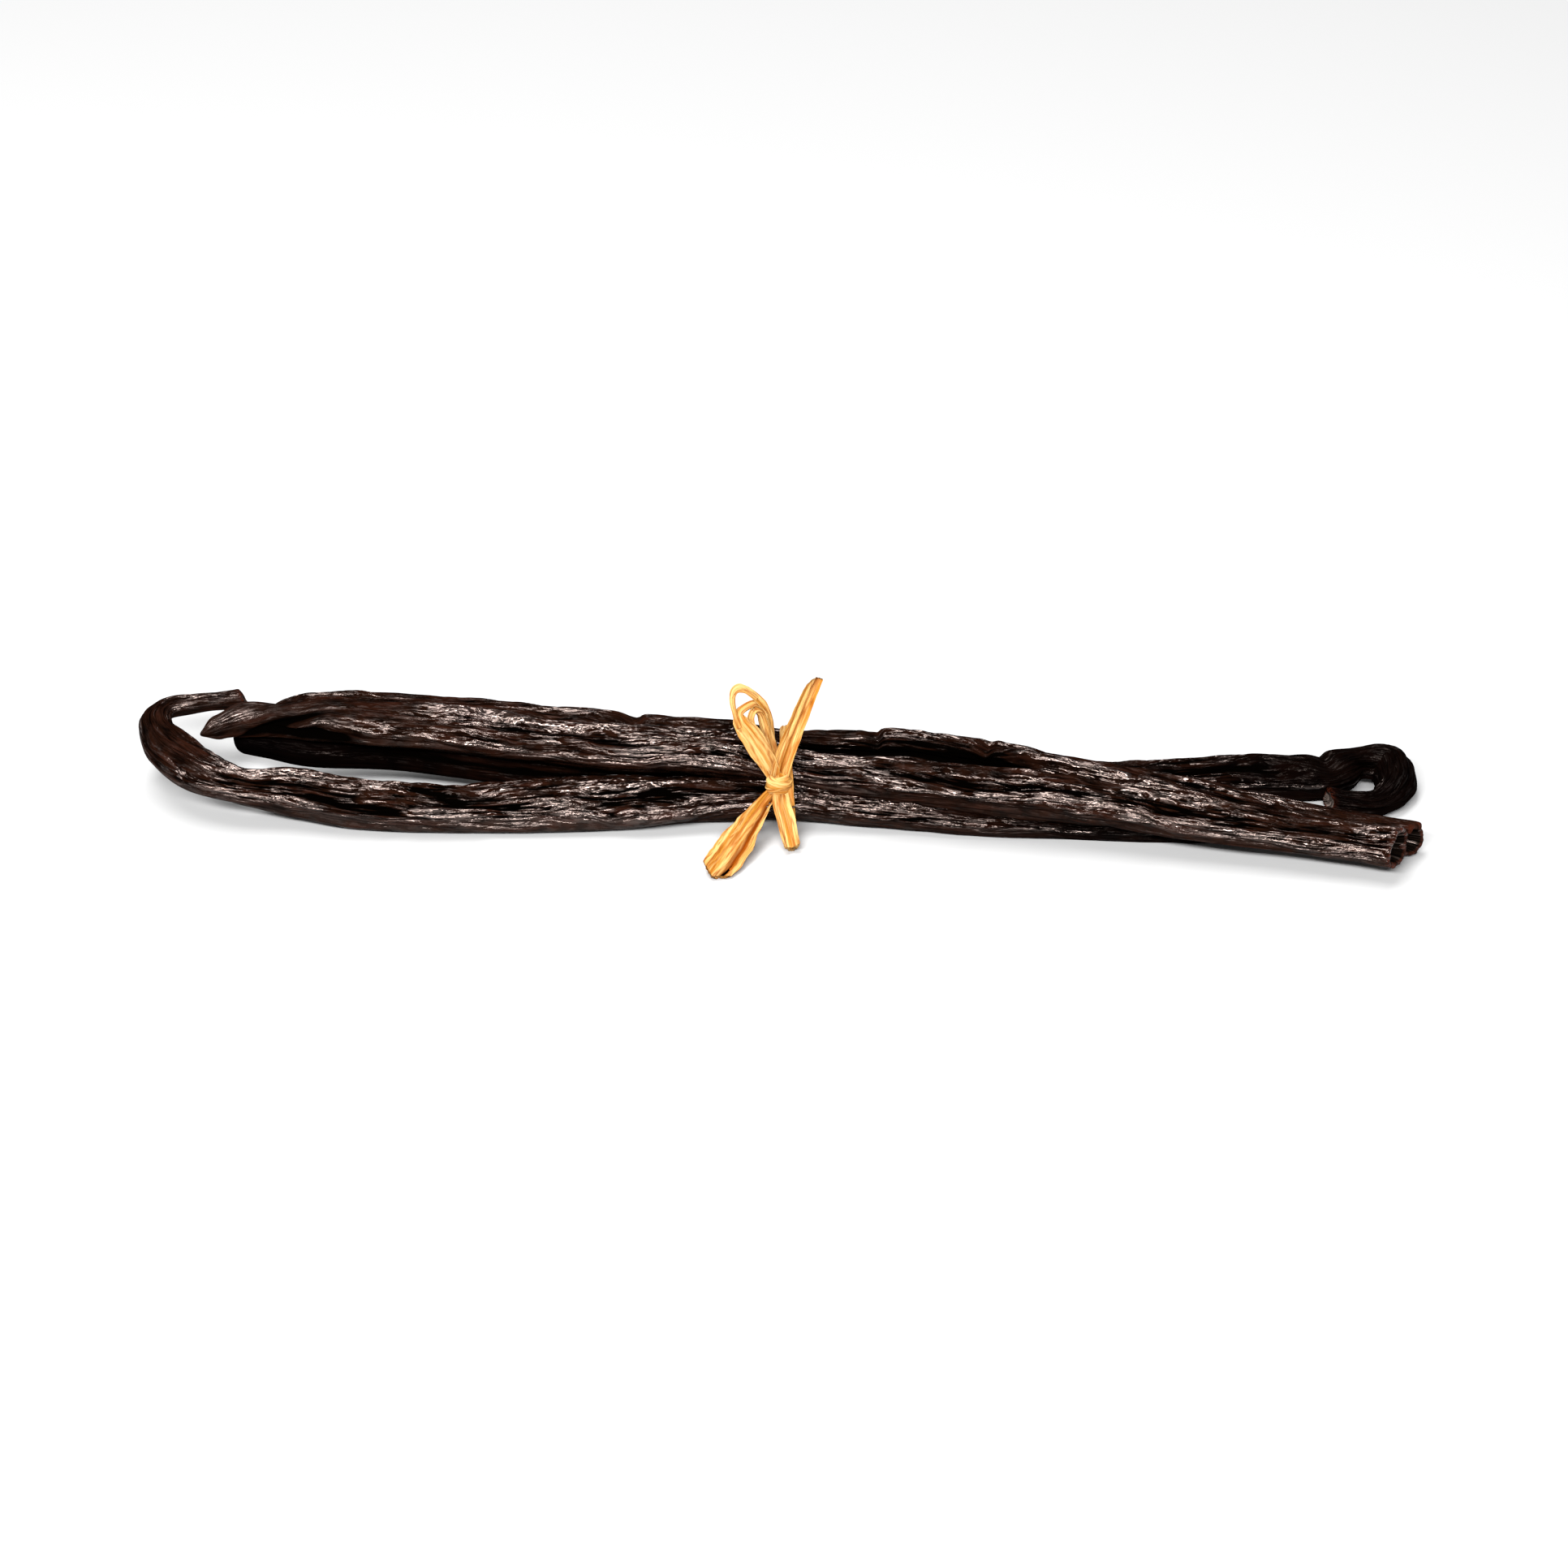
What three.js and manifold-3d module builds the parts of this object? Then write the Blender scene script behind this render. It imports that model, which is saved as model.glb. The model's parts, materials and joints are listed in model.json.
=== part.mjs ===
// Bundle of four cured vanilla pods tied round the middle with one strip of raffia.
// Millimetres, +Z up. The pods lie along X and their lowest flanks rest on the plane z = 0.
// Each pod is one closed skin swept along its own bent spine. Where two pods touch, the later
// one is pressed flat against the earlier one. The raffia is a single knotted strip.
import * as THREE from "three";
import { mergeVertices } from "three/addons/utils/BufferGeometryUtils.js";
import Module from "manifold-3d";

// ---- driving dimensions -----------------------------------------------------------------
const SKIN_SIDES = 20; // corners of a pod's section
const SKIN_RINGS = 62; // sections along a pod
const BEND_WEIGHT = 9; // mm of extra length that a turn of one radian counts for
const FOLD_WEIGHT = 3; // how much closer the sections stand over a fold
const END_WEIGHT = 6; // how much closer they stand where a rounded end closes
const CONTACT_GAP = 0.3; // left between two pods that touch
const ROUND_END = 2.2; // length over which a rounded end closes
const END_FLAT = 0.22; // size of the last section of a rounded end, as a share of the pod's
const HOLLOW_DEPTH = 0.9; // how deep a cut end is dished
const HOLLOW_SHARE = 0.62; // width of that dish, as a share of the end's own width
const FOLD_FALL = 1.5; // how fast a fold fades round the skin, away from the top
const RAFFIA_THICK = 0.45;
// The band takes in what lies within its reach along X. Its lean is in degrees.
const BAND = { x: 1.0, width: 1.8, thick: 0.35, gap: 0.2, lean: 4, corners: 40, reach: 2.7 };
const KNOT = { at: [0, -5.8, 7.2], size: [3.8, 2.6, 3.2], lean: 30, sides: 16, rings: 10 };
const KNOT_TO_ORIGIN = new THREE.Vector3(0.7, 2.7, 0); // the lists below start under the knot

// ---- the pods ---------------------------------------------------------------------------
// spine: points that the pod's middle line passes through.
// girth: [distance along the pod, width, thickness, roll in degrees].
// creases: [count round the skin, depth as a share of the radius, phase, turns along the pod].
// folds: [distance along, depth, reach before it, reach after it], nicks in the upper skin.
const PODS = [
  {
    name: "pod_front",
    ends: ["round", "hollow"],
    spine: [
      [-85.7, 2.7, 10.7],
      [-82.4, 3.6, 11.7],
      [-79.0, 4.4, 12.3],
      [-74.0, 4.5, 12.3],
      [-60.0, 3.8, 11.8],
      [-46.0, 3.1, 11.0],
      [-36.0, 1.9, 10.0],
      [-22.0, 1.0, 9.3],
      [-7.0, 0.4, 8.6],
      [1.5, -1.2, 7.7],
      [9.0, -2.9, 7.2],
      [28.3, -6.6, 7.0],
      [42.0, -9.0, 6.7],
      [56.0, -12.5, 5.9],
      [75.0, -16.2, 4.9],
      [88.8, -19.6, 4.5],
    ],
    girth: [
      [0, 1.4, 1.0, 66],
      [3, 3.6, 1.5, 66],
      [7, 5.2, 2.2, 60],
      [12, 5.0, 4.0, 35],
      [20, 6.6, 5.4, 0],
      [30, 7.2, 5.8, 0],
      [44, 7.3, 6.0, 0],
      [52, 6.6, 5.5, 0],
      [64, 7.6, 6.3, 0],
      [78, 7.8, 6.4, 0],
      [88, 5.6, 4.6, 0],
      [94, 5.8, 4.8, 0],
      [104, 7.0, 5.9, 0],
      [128, 7.4, 6.2, 0],
      [143, 6.4, 5.2, 0],
      [172, 6.1, 5.0, 0],
      [178, 6.4, 5.6, 0],
    ],
    creases: [
      [3, 0.05, 0.4, 0.35],
      [5, 0.03, 1.1, 0.5],
    ],
    folds: [],
  },
  {
    name: "pod_hooked",
    ends: ["hollow", "round"],
    spine: [
      [-80.0, 16.1, 9.6],
      [-87.8, 13.9, 9.8],
      [-92.0, 12.7, 9.5],
      [-93.4, 9.3, 8.9],
      [-90.8, 3.9, 7.9],
      [-86.2, -0.7, 6.8],
      [-79.0, -3.8, 5.5],
      [-72.0, -3.7, 4.7],
      [-62.0, -5.1, 3.6],
      [-46.0, -5.4, 3.0],
      [-30.0, -4.4, 3.0],
      [-12.0, -3.7, 3.1],
      [1.0, -4.3, 3.4],
      [12.0, -4.9, 2.6],
      [28.3, -7.3, 2.1],
      [45.0, -8.6, 1.9],
      [69.0, -9.7, 1.3],
    ],
    girth: [
      [0, 3.0, 2.8, 0],
      [5, 2.6, 2.4, 0],
      [12, 3.3, 3.0, 0],
      [16, 4.6, 3.8, 0],
      [22, 6.2, 4.6, 10],
      [29, 6.8, 5.0, 10],
      [37, 5.8, 4.8, 0],
      [44, 7.5, 6.4, 0],
      [54, 7.8, 6.3, 0],
      [68, 7.6, 6.3, 0],
      [92, 8.2, 6.8, 0],
      [106, 6.6, 5.8, 0],
      [117, 5.2, 4.6, 0],
      [130, 5.6, 4.8, 0],
      [161, 4.6, 4.0, 0],
      [176, 3.6, 3.2, 0],
      [185, 2.4, 2.2, 0],
    ],
    creases: [
      [3, 0.04, 2.0, 0.5],
      [5, 0.04, 0.3, 0.6],
    ],
    folds: [[67, 1.1, 3.6, 2.0]],
  },
  {
    name: "pod_curled",
    ends: ["round", "hollow"],
    spine: [
      [-81.3, 7.4, 8.2],
      [-76.0, 6.5, 7.7],
      [-70.0, 5.3, 7.0],
      [-58.0, 5.9, 6.0],
      [-43.6, 4.5, 4.6],
      [-32.0, 4.2, 2.9],
      [-20.0, 4.0, 2.4],
      [-9.0, 3.8, 2.9],
      [1.0, 3.6, 3.4],
      [11.0, 2.9, 2.7],
      [28.7, 2.5, 2.5],
      [52.8, 3.2, 2.7],
      [66.0, 4.0, 2.9],
      [76.0, 4.4, 3.2],
      [81.0, 5.2, 3.0],
      [86.0, 7.8, 2.9],
      [89.8, 7.6, 2.8],
      [91.4, 5.2, 2.7],
      [91.1, 1.0, 2.4],
      [88.0, -1.8, 1.9],
      [84.2, -1.9, 1.8],
      [80.0, -0.5, 1.7],
    ],
    girth: [
      [0, 5.6, 5.2, 0],
      [5, 6.0, 5.4, 0],
      [60, 5.8, 5.2, 0],
      [82, 5.0, 4.4, 0],
      [92, 5.6, 5.0, 0],
      [110, 6.0, 5.2, 0],
      [134, 6.6, 5.6, 0],
      [157, 7.8, 6.6, 0],
      [163, 6.4, 5.8, 0],
      [168, 4.6, 4.8, 0],
      [173, 5.8, 5.6, 0],
      [179, 5.2, 4.8, 0],
      [184, 4.0, 3.7, 0],
      [190, 3.7, 3.5, 0],
    ],
    creases: [
      [3, 0.05, 1.2, 0.3],
      [5, 0.03, 0.0, 0.5],
    ],
    folds: [[163, 0.9, 2.0, 2.0]],
  },
  {
    name: "pod_rear",
    ends: ["round", "hollow"],
    spine: [
      [-75.6, 8.6, 11.7],
      [-68.0, 9.5, 11.3],
      [-61.0, 9.8, 10.7],
      [-52.0, 9.7, 9.9],
      [-43.7, 8.8, 9.6],
      [-31.6, 7.2, 9.2],
      [-19.5, 6.5, 8.6],
      [-7.5, 6.0, 8.1],
      [0.8, 5.0, 7.7],
      [7.0, 3.9, 8.0],
      [16.6, 3.4, 8.0],
      [28.5, 0.8, 7.6],
      [40.3, -2.6, 7.1],
      [52.0, -6.1, 6.5],
      [63.8, -8.4, 5.8],
      [75.4, -10.8, 4.2],
      [86.9, -13.0, 3.2],
      [92.4, -15.1, 2.8],
    ],
    girth: [
      [0, 2.4, 2.0, 0],
      [6, 5.2, 4.4, 0],
      [13, 6.4, 5.1, 0],
      [24, 6.8, 5.5, 0],
      [43, 6.7, 5.6, 0],
      [68, 6.2, 5.4, 0],
      [77, 5.0, 4.2, 0],
      [84, 5.6, 4.4, 0],
      [93, 6.4, 5.4, 0],
      [116, 6.4, 5.6, 0],
      [130, 6.2, 5.2, 0],
      [153, 4.9, 4.3, 0],
      [165, 4.5, 4.0, 0],
      [170, 4.8, 4.4, 0],
    ],
    creases: [
      [3, 0.05, 0.0, 0.4],
      [5, 0.03, 2.1, 0.4],
    ],
    folds: [
      [54.5, 1.5, 3.4, 1.3],
      [90.5, 1.1, 3.0, 1.0],
      [107, 0.9, 2.4, 1.2],
    ],
  },
];

// ---- the raffia ---------------------------------------------------------------------------
// Every length of the strip that leaves the knot: [x, y, z, width, depth of its hollow face].
// A negative depth hollows the strip's other face.
const STRIPS = {
  upperTail: [
    [0.2, -5.4, 7.6, 2.2, 0.3],
    [1.5, -4.4, 13.2, 2.4, 0.5],
    [3.4, -2.6, 17.6, 2.5, 0.6],
    [5.2, -0.4, 21.6, 2.4, 0.7],
  ],
  lowerLeftTail: [
    [-0.5, -5.8, 6.8, 2.2, -0.3],
    [-2.8, -8.6, 4.9, 2.0, -0.7],
    [-6.1, -13.2, 3.1, 3.8, -1.0],
    [-9.2, -20.3, 1.1, 4.6, -1.0],
  ],
  lowerRightTail: [
    [0.3, -5.8, 6.6, 2.4, -0.3],
    [0.6, -8.0, 4.2, 2.8, -0.4],
    [1.1, -10.8, 2.4, 2.7, -0.5],
    [1.7, -13.7, 0.9, 2.5, -0.5],
  ],
  bowLoop: [
    [-0.6, -5.4, 7.8, 2.6, 0.3],
    [-2.4, -5.4, 12.3, 3.9, 0.5],
    [-4.1, -5.0, 15.8, 5.2, 0.6],
    [-4.6, -3.8, 17.8, 4.4, 0.4],
    [-3.8, -2.2, 17.0, 3.4, 0.3],
    [-1.8, -2.8, 13.2, 2.8, 0.3],
    [-0.4, -5.0, 8.6, 2.4, 0.3],
  ],
  splitStrand: [
    [-5.6, -5.0, 14.8, 1.2, 0.1],
    [-7.1, -3.8, 18.8, 1.2, 0.1],
    [-6.6, -3.0, 21.1, 1.3, 0.1],
    [-5.3, -2.8, 21.3, 1.3, 0.1],
    [-3.8, -2.8, 19.6, 1.3, 0.1],
    [-2.3, -3.0, 16.6, 1.2, 0.1],
    [-0.8, -4.4, 11.4, 1.2, 0.1],
  ],
};
const STRIP_CORNERS = 5; // corners across each face of a strip
const STRIP_RINGS = 14;

const SAME_POINT = 1e-4; // corners closer than this are one corner
const UP = new THREE.Vector3(0, 0, 1);
const DEGREE = Math.PI / 180;
const FULL_TURN = 2 * Math.PI;

// ---- sweeping a skin along a spine --------------------------------------------------------
function curveThrough(points) {
  const line = points.map(([x, y, z]) => new THREE.Vector3(x, y, z));
  const curve = new THREE.CatmullRomCurve3(line, false, "centripetal");
  curve.arcLengthDivisions = 1000;
  return curve;
}

// One column of a list of stations at a given place, eased between the two nearest stations.
function eased(stations, column, place) {
  const next = stations.findIndex((station) => station[0] > place);
  if (next === -1) return stations.at(-1)[column];
  if (next === 0) return stations[0][column];
  const [before, after] = [stations[next - 1], stations[next]];
  const share = THREE.MathUtils.smoothstep(place, before[0], after[0]);
  return THREE.MathUtils.lerp(before[column], after[column], share);
}

// Joins rings of equal size into one closed skin, each end closed on its own middle point.
function closedSkin(rings, firstMiddle, lastMiddle) {
  const size = rings[0].length;
  const corners = [...rings.flat(), firstMiddle, lastMiddle];
  const lastRing = (rings.length - 1) * size;
  const faces = [];
  for (let i = 0; i < size; i++) {
    const j = (i + 1) % size;
    for (let start = 0; start < lastRing; start += size) {
      faces.push(start + i, start + j, start + size + j);
      faces.push(start + i, start + size + j, start + size + i);
    }
    faces.push(corners.length - 2, j, i);
    faces.push(corners.length - 1, lastRing + i, lastRing + j);
  }
  const geometry = new THREE.BufferGeometry();
  geometry.setFromPoints(corners);
  geometry.setIndex(faces);
  geometry.computeVertexNormals();
  return geometry;
}

// ---- a pod --------------------------------------------------------------------------------
function foldDepth(pod, place) {
  let depth = 0;
  for (const [at, deepest, before, after] of pod.folds) {
    const away = place < at ? (at - place) / before : (place - at) / after;
    depth += deepest * Math.max(0, 1 - away) ** 2;
  }
  return depth;
}

// How close the sections have to stand at a place, against a plain stretch of pod.
function closeness(pod, place, length) {
  const fromEnds = [place, length - place];
  const rounding = pod.ends.some((end, k) => end === "round" && fromEnds[k] < ROUND_END);
  if (rounding) return END_WEIGHT;
  return foldDepth(pod, place) > 0 ? FOLD_WEIGHT : 1;
}

// Shares of the spine's length at which the sections stand, closer at bends, folds and ends.
function sectionPlaces(pod, curve, length) {
  const samples = 600;
  const reach = [0];
  for (let i = 1; i <= samples; i++) {
    const turn = curve.getTangentAt((i - 1) / samples).angleTo(curve.getTangentAt(i / samples));
    const step = (closeness(pod, (length * i) / samples, length) * length) / samples;
    reach.push(reach[i - 1] + step + BEND_WEIGHT * turn);
  }
  const places = [];
  for (let k = 0; k < SKIN_RINGS; k++) {
    const wanted = (reach[samples] * k) / (SKIN_RINGS - 1);
    const i = Math.max(1, reach.findIndex((value) => value >= wanted - 1e-9));
    places.push((i - 1 + (wanted - reach[i - 1]) / (reach[i] - reach[i - 1])) / samples);
  }
  return places;
}

// A rounded end closes like the end of an egg.
function endClosing(pod, place, length) {
  const fromEnds = [place, length - place];
  let share = 1;
  pod.ends.forEach((end, k) => {
    if (end === "round" && fromEnds[k] < ROUND_END) {
      share = Math.max(END_FLAT, Math.sqrt(1 - (1 - fromEnds[k] / ROUND_END) ** 2));
    }
  });
  return share;
}

// How far the skin stands from the spine, [sideways, upwards], at an angle from the top.
function skinOffset(pod, place, share, angle) {
  const width = eased(pod.girth, 1, place);
  const thickness = eased(pod.girth, 2, place);
  let swell = 1;
  for (const [count, depth, phase, turns] of pod.creases) {
    swell += depth * Math.cos(count * (angle + FULL_TURN * turns * share) + phase);
  }
  const nick = foldDepth(pod, place) * Math.max(0, Math.cos(angle)) ** FOLD_FALL;
  const across = (width / 2) * swell * Math.sin(angle);
  const above = (thickness / 2) * swell * Math.cos(angle) - nick;
  return [across, above];
}

// The sections of a pod, each with its centre and the direction that the pod runs in there.
function podSections(pod) {
  const curve = curveThrough(pod.spine);
  const length = curve.getLength();
  return sectionPlaces(pod, curve, length).map((share) => {
    const place = share * length;
    const centre = curve.getPointAt(share);
    const run = curve.getTangentAt(share);
    const roll = eased(pod.girth, 3, place) * DEGREE;
    const side = new THREE.Vector3().crossVectors(run, UP).normalize().applyAxisAngle(run, roll);
    const top = new THREE.Vector3().crossVectors(side, run);
    const closing = endClosing(pod, place, length);
    const ring = [];
    for (let i = 0; i < SKIN_SIDES; i++) {
      const [across, above] = skinOffset(pod, place, share, (FULL_TURN * i) / SKIN_SIDES);
      const corner = centre.clone().addScaledVector(side, across * closing);
      ring.push(corner.addScaledVector(top, above * closing));
    }
    return { centre, run, side, top, ring };
  });
}

// The inner rim of a cut end, a little way down its dish.
function hollowRim({ centre, run, ring }, inward) {
  return ring.map((corner) =>
    centre.clone().lerp(corner, HOLLOW_SHARE).addScaledVector(run, (inward * HOLLOW_DEPTH) / 4),
  );
}

// Moves a corner that lies in an earlier pod out to CONTACT_GAP off that pod's skin.
function pressOff(corner, sections) {
  let near = { distance: Infinity };
  for (let k = 0; k < sections.length - 1; k++) {
    const [a, b] = [sections[k], sections[k + 1]];
    const line = new THREE.Line3(a.centre, b.centre);
    const share = line.closestPointToPointParameter(corner, true);
    const centre = line.at(share, new THREE.Vector3());
    const distance = centre.distanceTo(corner);
    if (distance < near.distance) near = { a, b, share, centre, distance };
  }
  const { a, b, share, centre, distance } = near;
  const offset = corner.clone().sub(centre);
  if (Math.abs(offset.dot(a.run)) > CONTACT_GAP) return; // it lies past the pod's end
  const side = a.side.clone().lerp(b.side, share).normalize();
  const top = a.top.clone().lerp(b.top, share).normalize();
  const turn = Math.atan2(offset.dot(side), offset.dot(top)) / FULL_TURN;
  const index = (turn * SKIN_SIDES + SKIN_SIDES) % SKIN_SIDES;
  const [i, j] = [Math.floor(index), (Math.floor(index) + 1) % SKIN_SIDES];
  const skinOf = ({ ring }) => ring[i].clone().lerp(ring[j], index - i);
  const reach = skinOf(a).lerp(skinOf(b), share).distanceTo(centre) + CONTACT_GAP;
  if (distance < reach) corner.copy(centre).addScaledVector(offset.normalize(), reach);
}

// Presses a pod off the pods already laid and off the table, and closes its skin.
function podGeometry(pod, sections, laid) {
  const [first, last] = [sections[0], sections.at(-1)];
  const rings = sections.map(({ ring }) => ring);
  const middles = [first.centre.clone(), last.centre.clone()];
  if (pod.ends[0] === "hollow") {
    rings.unshift(hollowRim(first, 1));
    middles[0].addScaledVector(first.run, HOLLOW_DEPTH);
  }
  if (pod.ends[1] === "hollow") {
    rings.push(hollowRim(last, -1));
    middles[1].addScaledVector(last.run, -HOLLOW_DEPTH);
  }
  for (const corner of rings.flat()) {
    laid.forEach((earlier) => pressOff(corner, earlier));
    corner.z = Math.max(corner.z, 0);
  }
  return closedSkin(rings, ...middles);
}

// ---- raffia pieces ------------------------------------------------------------------------
function middleOf(ring) {
  const sum = ring.reduce((total, corner) => total.add(corner), new THREE.Vector3());
  return sum.divideScalar(ring.length);
}

// A flat strip, hollowed a little across its width. It leaves the knot with its width along X,
// and from there on it bends without twisting.
function stripGeometry(stations) {
  const curve = curveThrough(stations);
  const numbered = stations.map((station, k) => [k / (stations.length - 1), ...station]);
  const across = new THREE.Vector3(1, 0, 0);
  const rings = [];
  for (let k = 0; k < STRIP_RINGS; k++) {
    const share = k / (STRIP_RINGS - 1);
    const centre = curve.getPoint(share);
    const run = curve.getTangent(share);
    across.addScaledVector(run, -across.dot(run)).normalize();
    const face = new THREE.Vector3().crossVectors(across, run);
    const width = eased(numbered, 4, share);
    const hollow = eased(numbered, 5, share);
    const ring = [];
    for (const side of [1, -1]) {
      for (let i = 0; i < STRIP_CORNERS; i++) {
        const place = side * ((2 * i) / (STRIP_CORNERS - 1) - 1);
        const height = hollow * (place ** 2 - 0.5) + (side * RAFFIA_THICK) / 2;
        const corner = centre.clone().addScaledVector(across, (place * width) / 2);
        ring.push(corner.addScaledVector(face, height));
      }
    }
    rings.push(ring);
  }
  return closedSkin(rings, middleOf(rings[0]), middleOf(rings.at(-1)));
}

// A closed loop in the Y-Z plane, everywhere an offset further out than the given points.
function loopRound(points, offset) {
  const loop = [];
  for (let k = 0; k < BAND.corners; k++) {
    const angle = (FULL_TURN * k) / BAND.corners;
    const out = new THREE.Vector3(0, Math.cos(angle), Math.sin(angle));
    const furthest = points.reduce((best, v) => (v.dot(out) > best.dot(out) ? v : best));
    loop.push(new THREE.Vector2(furthest.y + offset * out.y, furthest.z + offset * out.z));
  }
  return loop;
}

// The band takes the outline that a tight loop has round all the pods where it passes.
function bandGeometry(laid) {
  const corners = laid.flat().flatMap(({ ring }) => ring);
  const passed = corners.filter((v) => Math.abs(v.x - BAND.x) < BAND.reach);
  const shape = new THREE.Shape(loopRound(passed, BAND.gap + BAND.thick));
  shape.holes.push(new THREE.Path(loopRound(passed, BAND.gap)));
  const geometry = new THREE.ExtrudeGeometry(shape, { depth: BAND.width, bevelEnabled: false });
  geometry.translate(0, 0, -BAND.width / 2);
  const [along, across] = [new THREE.Vector3(1, 0, 0), new THREE.Vector3(0, 1, 0)];
  geometry.applyMatrix4(new THREE.Matrix4().makeBasis(across, UP, along));
  const lean = Math.tan(BAND.lean * DEGREE);
  const place = geometry.attributes.position;
  for (let i = 0; i < place.count; i++) {
    place.setX(i, place.getX(i) + BAND.x - lean * (place.getZ(i) - KNOT.at[2]));
  }
  return geometry;
}

function knotGeometry() {
  const geometry = new THREE.SphereGeometry(0.5, KNOT.sides, KNOT.rings);
  geometry.scale(...KNOT.size);
  geometry.rotateX(-KNOT.lean * DEGREE);
  geometry.translate(...KNOT.at);
  return geometry;
}

// ---- joining the raffia into one solid ----------------------------------------------------
const wasm = await Module();
wasm.setup();

function solidOf(geometry) {
  const bare = geometry.clone();
  bare.deleteAttribute("normal");
  bare.deleteAttribute("uv");
  const merged = mergeVertices(bare, SAME_POINT);
  const vertProperties = merged.attributes.position.array;
  const triVerts = new Uint32Array(merged.index.array);
  return new wasm.Manifold(new wasm.Mesh({ numProp: 3, vertProperties, triVerts }));
}

function joined(geometries) {
  const solid = geometries.map(solidOf).reduce((whole, next) => whole.add(next));
  const { vertProperties, triVerts } = solid.getMesh();
  const geometry = new THREE.BufferGeometry();
  geometry.setAttribute("position", new THREE.BufferAttribute(vertProperties, 3));
  geometry.setIndex(new THREE.BufferAttribute(triVerts, 1));
  geometry.computeVertexNormals();
  return geometry;
}

// ---- the bundle -----------------------------------------------------------------------------
const bundle = new THREE.Group();

function addPiece(name, geometry, material) {
  const mesh = new THREE.Mesh(geometry, material);
  mesh.name = name;
  mesh.position.copy(KNOT_TO_ORIGIN);
  bundle.add(mesh);
}

const laid = [];
for (const pod of PODS) {
  const sections = podSections(pod);
  const skin = new THREE.MeshStandardMaterial({ color: 0x2a1a15, roughness: 0.38, metalness: 0 });
  addPiece(pod.name, podGeometry(pod, sections, laid), skin);
  laid.push(sections);
}

const raffia = new THREE.MeshStandardMaterial({ color: 0xe0ac60, roughness: 0.7, metalness: 0 });
const strips = Object.values(STRIPS).map(stripGeometry);
addPiece("raffia_tie", joined([bandGeometry(laid), knotGeometry(), ...strips]), raffia);

export default bundle;
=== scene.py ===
"""A bundle of four cured vanilla pods tied with raffia: the looks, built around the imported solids."""

import json
import math

import bpy
import numpy as np
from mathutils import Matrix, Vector

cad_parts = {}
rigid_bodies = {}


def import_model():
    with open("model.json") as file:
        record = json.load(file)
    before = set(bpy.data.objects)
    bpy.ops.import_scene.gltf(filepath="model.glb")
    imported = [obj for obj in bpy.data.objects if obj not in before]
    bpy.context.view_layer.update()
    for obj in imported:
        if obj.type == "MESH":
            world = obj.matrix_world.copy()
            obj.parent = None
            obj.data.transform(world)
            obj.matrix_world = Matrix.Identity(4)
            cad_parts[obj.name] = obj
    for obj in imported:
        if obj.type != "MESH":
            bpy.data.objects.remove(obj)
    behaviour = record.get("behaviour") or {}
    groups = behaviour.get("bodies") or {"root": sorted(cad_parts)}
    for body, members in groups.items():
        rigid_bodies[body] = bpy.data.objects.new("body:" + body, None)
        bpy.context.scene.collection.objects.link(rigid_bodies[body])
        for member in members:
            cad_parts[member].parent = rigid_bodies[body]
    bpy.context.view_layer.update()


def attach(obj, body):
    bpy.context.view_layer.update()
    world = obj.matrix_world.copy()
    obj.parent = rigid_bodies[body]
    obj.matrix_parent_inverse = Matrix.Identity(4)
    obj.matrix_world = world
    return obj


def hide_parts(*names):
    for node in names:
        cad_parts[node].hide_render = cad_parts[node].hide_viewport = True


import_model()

# ---- The four pods ------------------------------------------------------------------------
# Cured vanilla pods: long seed cases that were killed in hot water, sweated and dried for
# months until they turned near black, oily and wrinkled along their length. Each one is a
# single skin that follows its own bent line, and all four lie side by side on the table.

scene = bpy.context.scene
MM = 0.001
KNOT_TO_ORIGIN = np.array([0.7, 2.7, 0.0])  # mm, the lists start on the table under the knot
UP = np.array([0.0, 0.0, 1.0])
POD_SIDES = 188  # corners round a pod
POD_RINGS = 470  # sections along a pod, without those inside its ends
END_WEIGHT = 5  # how much closer the sections stand at the ends
FINE_PLACES = 4000  # places along a pod that the sections are shared out over
RUN_REACH = 0.4  # mm each way over which a section's direction is taken
ROUND_END = 2.2  # mm over which a rounded end closes
TIP = 0.001  # keeps the last ring of a rounded end open, just
RIM_REACH = 5.0  # mm over which a cut end is uneven and aslant
LIP = 0.7  # mm over which the skin rolls over at a cut end
LIP_DROP = 0.045  # how much narrower it is there
INSIDE = 0.02  # mm inwards that a ring of a mouth counts as, at least
MEAN_RADIUS = 3.3  # mm, what the wrinkles are laid out on
ABOVE_TABLE = 0.03  # mm, the lowest that a skin or a strip lies
POD_PUSH = 4.0  # mm, the most that the pods already laid push a skin away

# The mouth of a cut end, from its lip to the bottom of its hollow: [size as a share of the
# pod's own, mm inwards].
MOUTH = [
    [0.92, -0.12], [0.86, -0.18], [0.79, -0.12], [0.73, 0.08], [0.69, 0.4], [0.65, 0.9],
    [0.61, 1.5], [0.56, 2.1], [0.48, 2.6], [0.37, 2.95], [0.25, 3.15], [0.12, 3.25],
]

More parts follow.
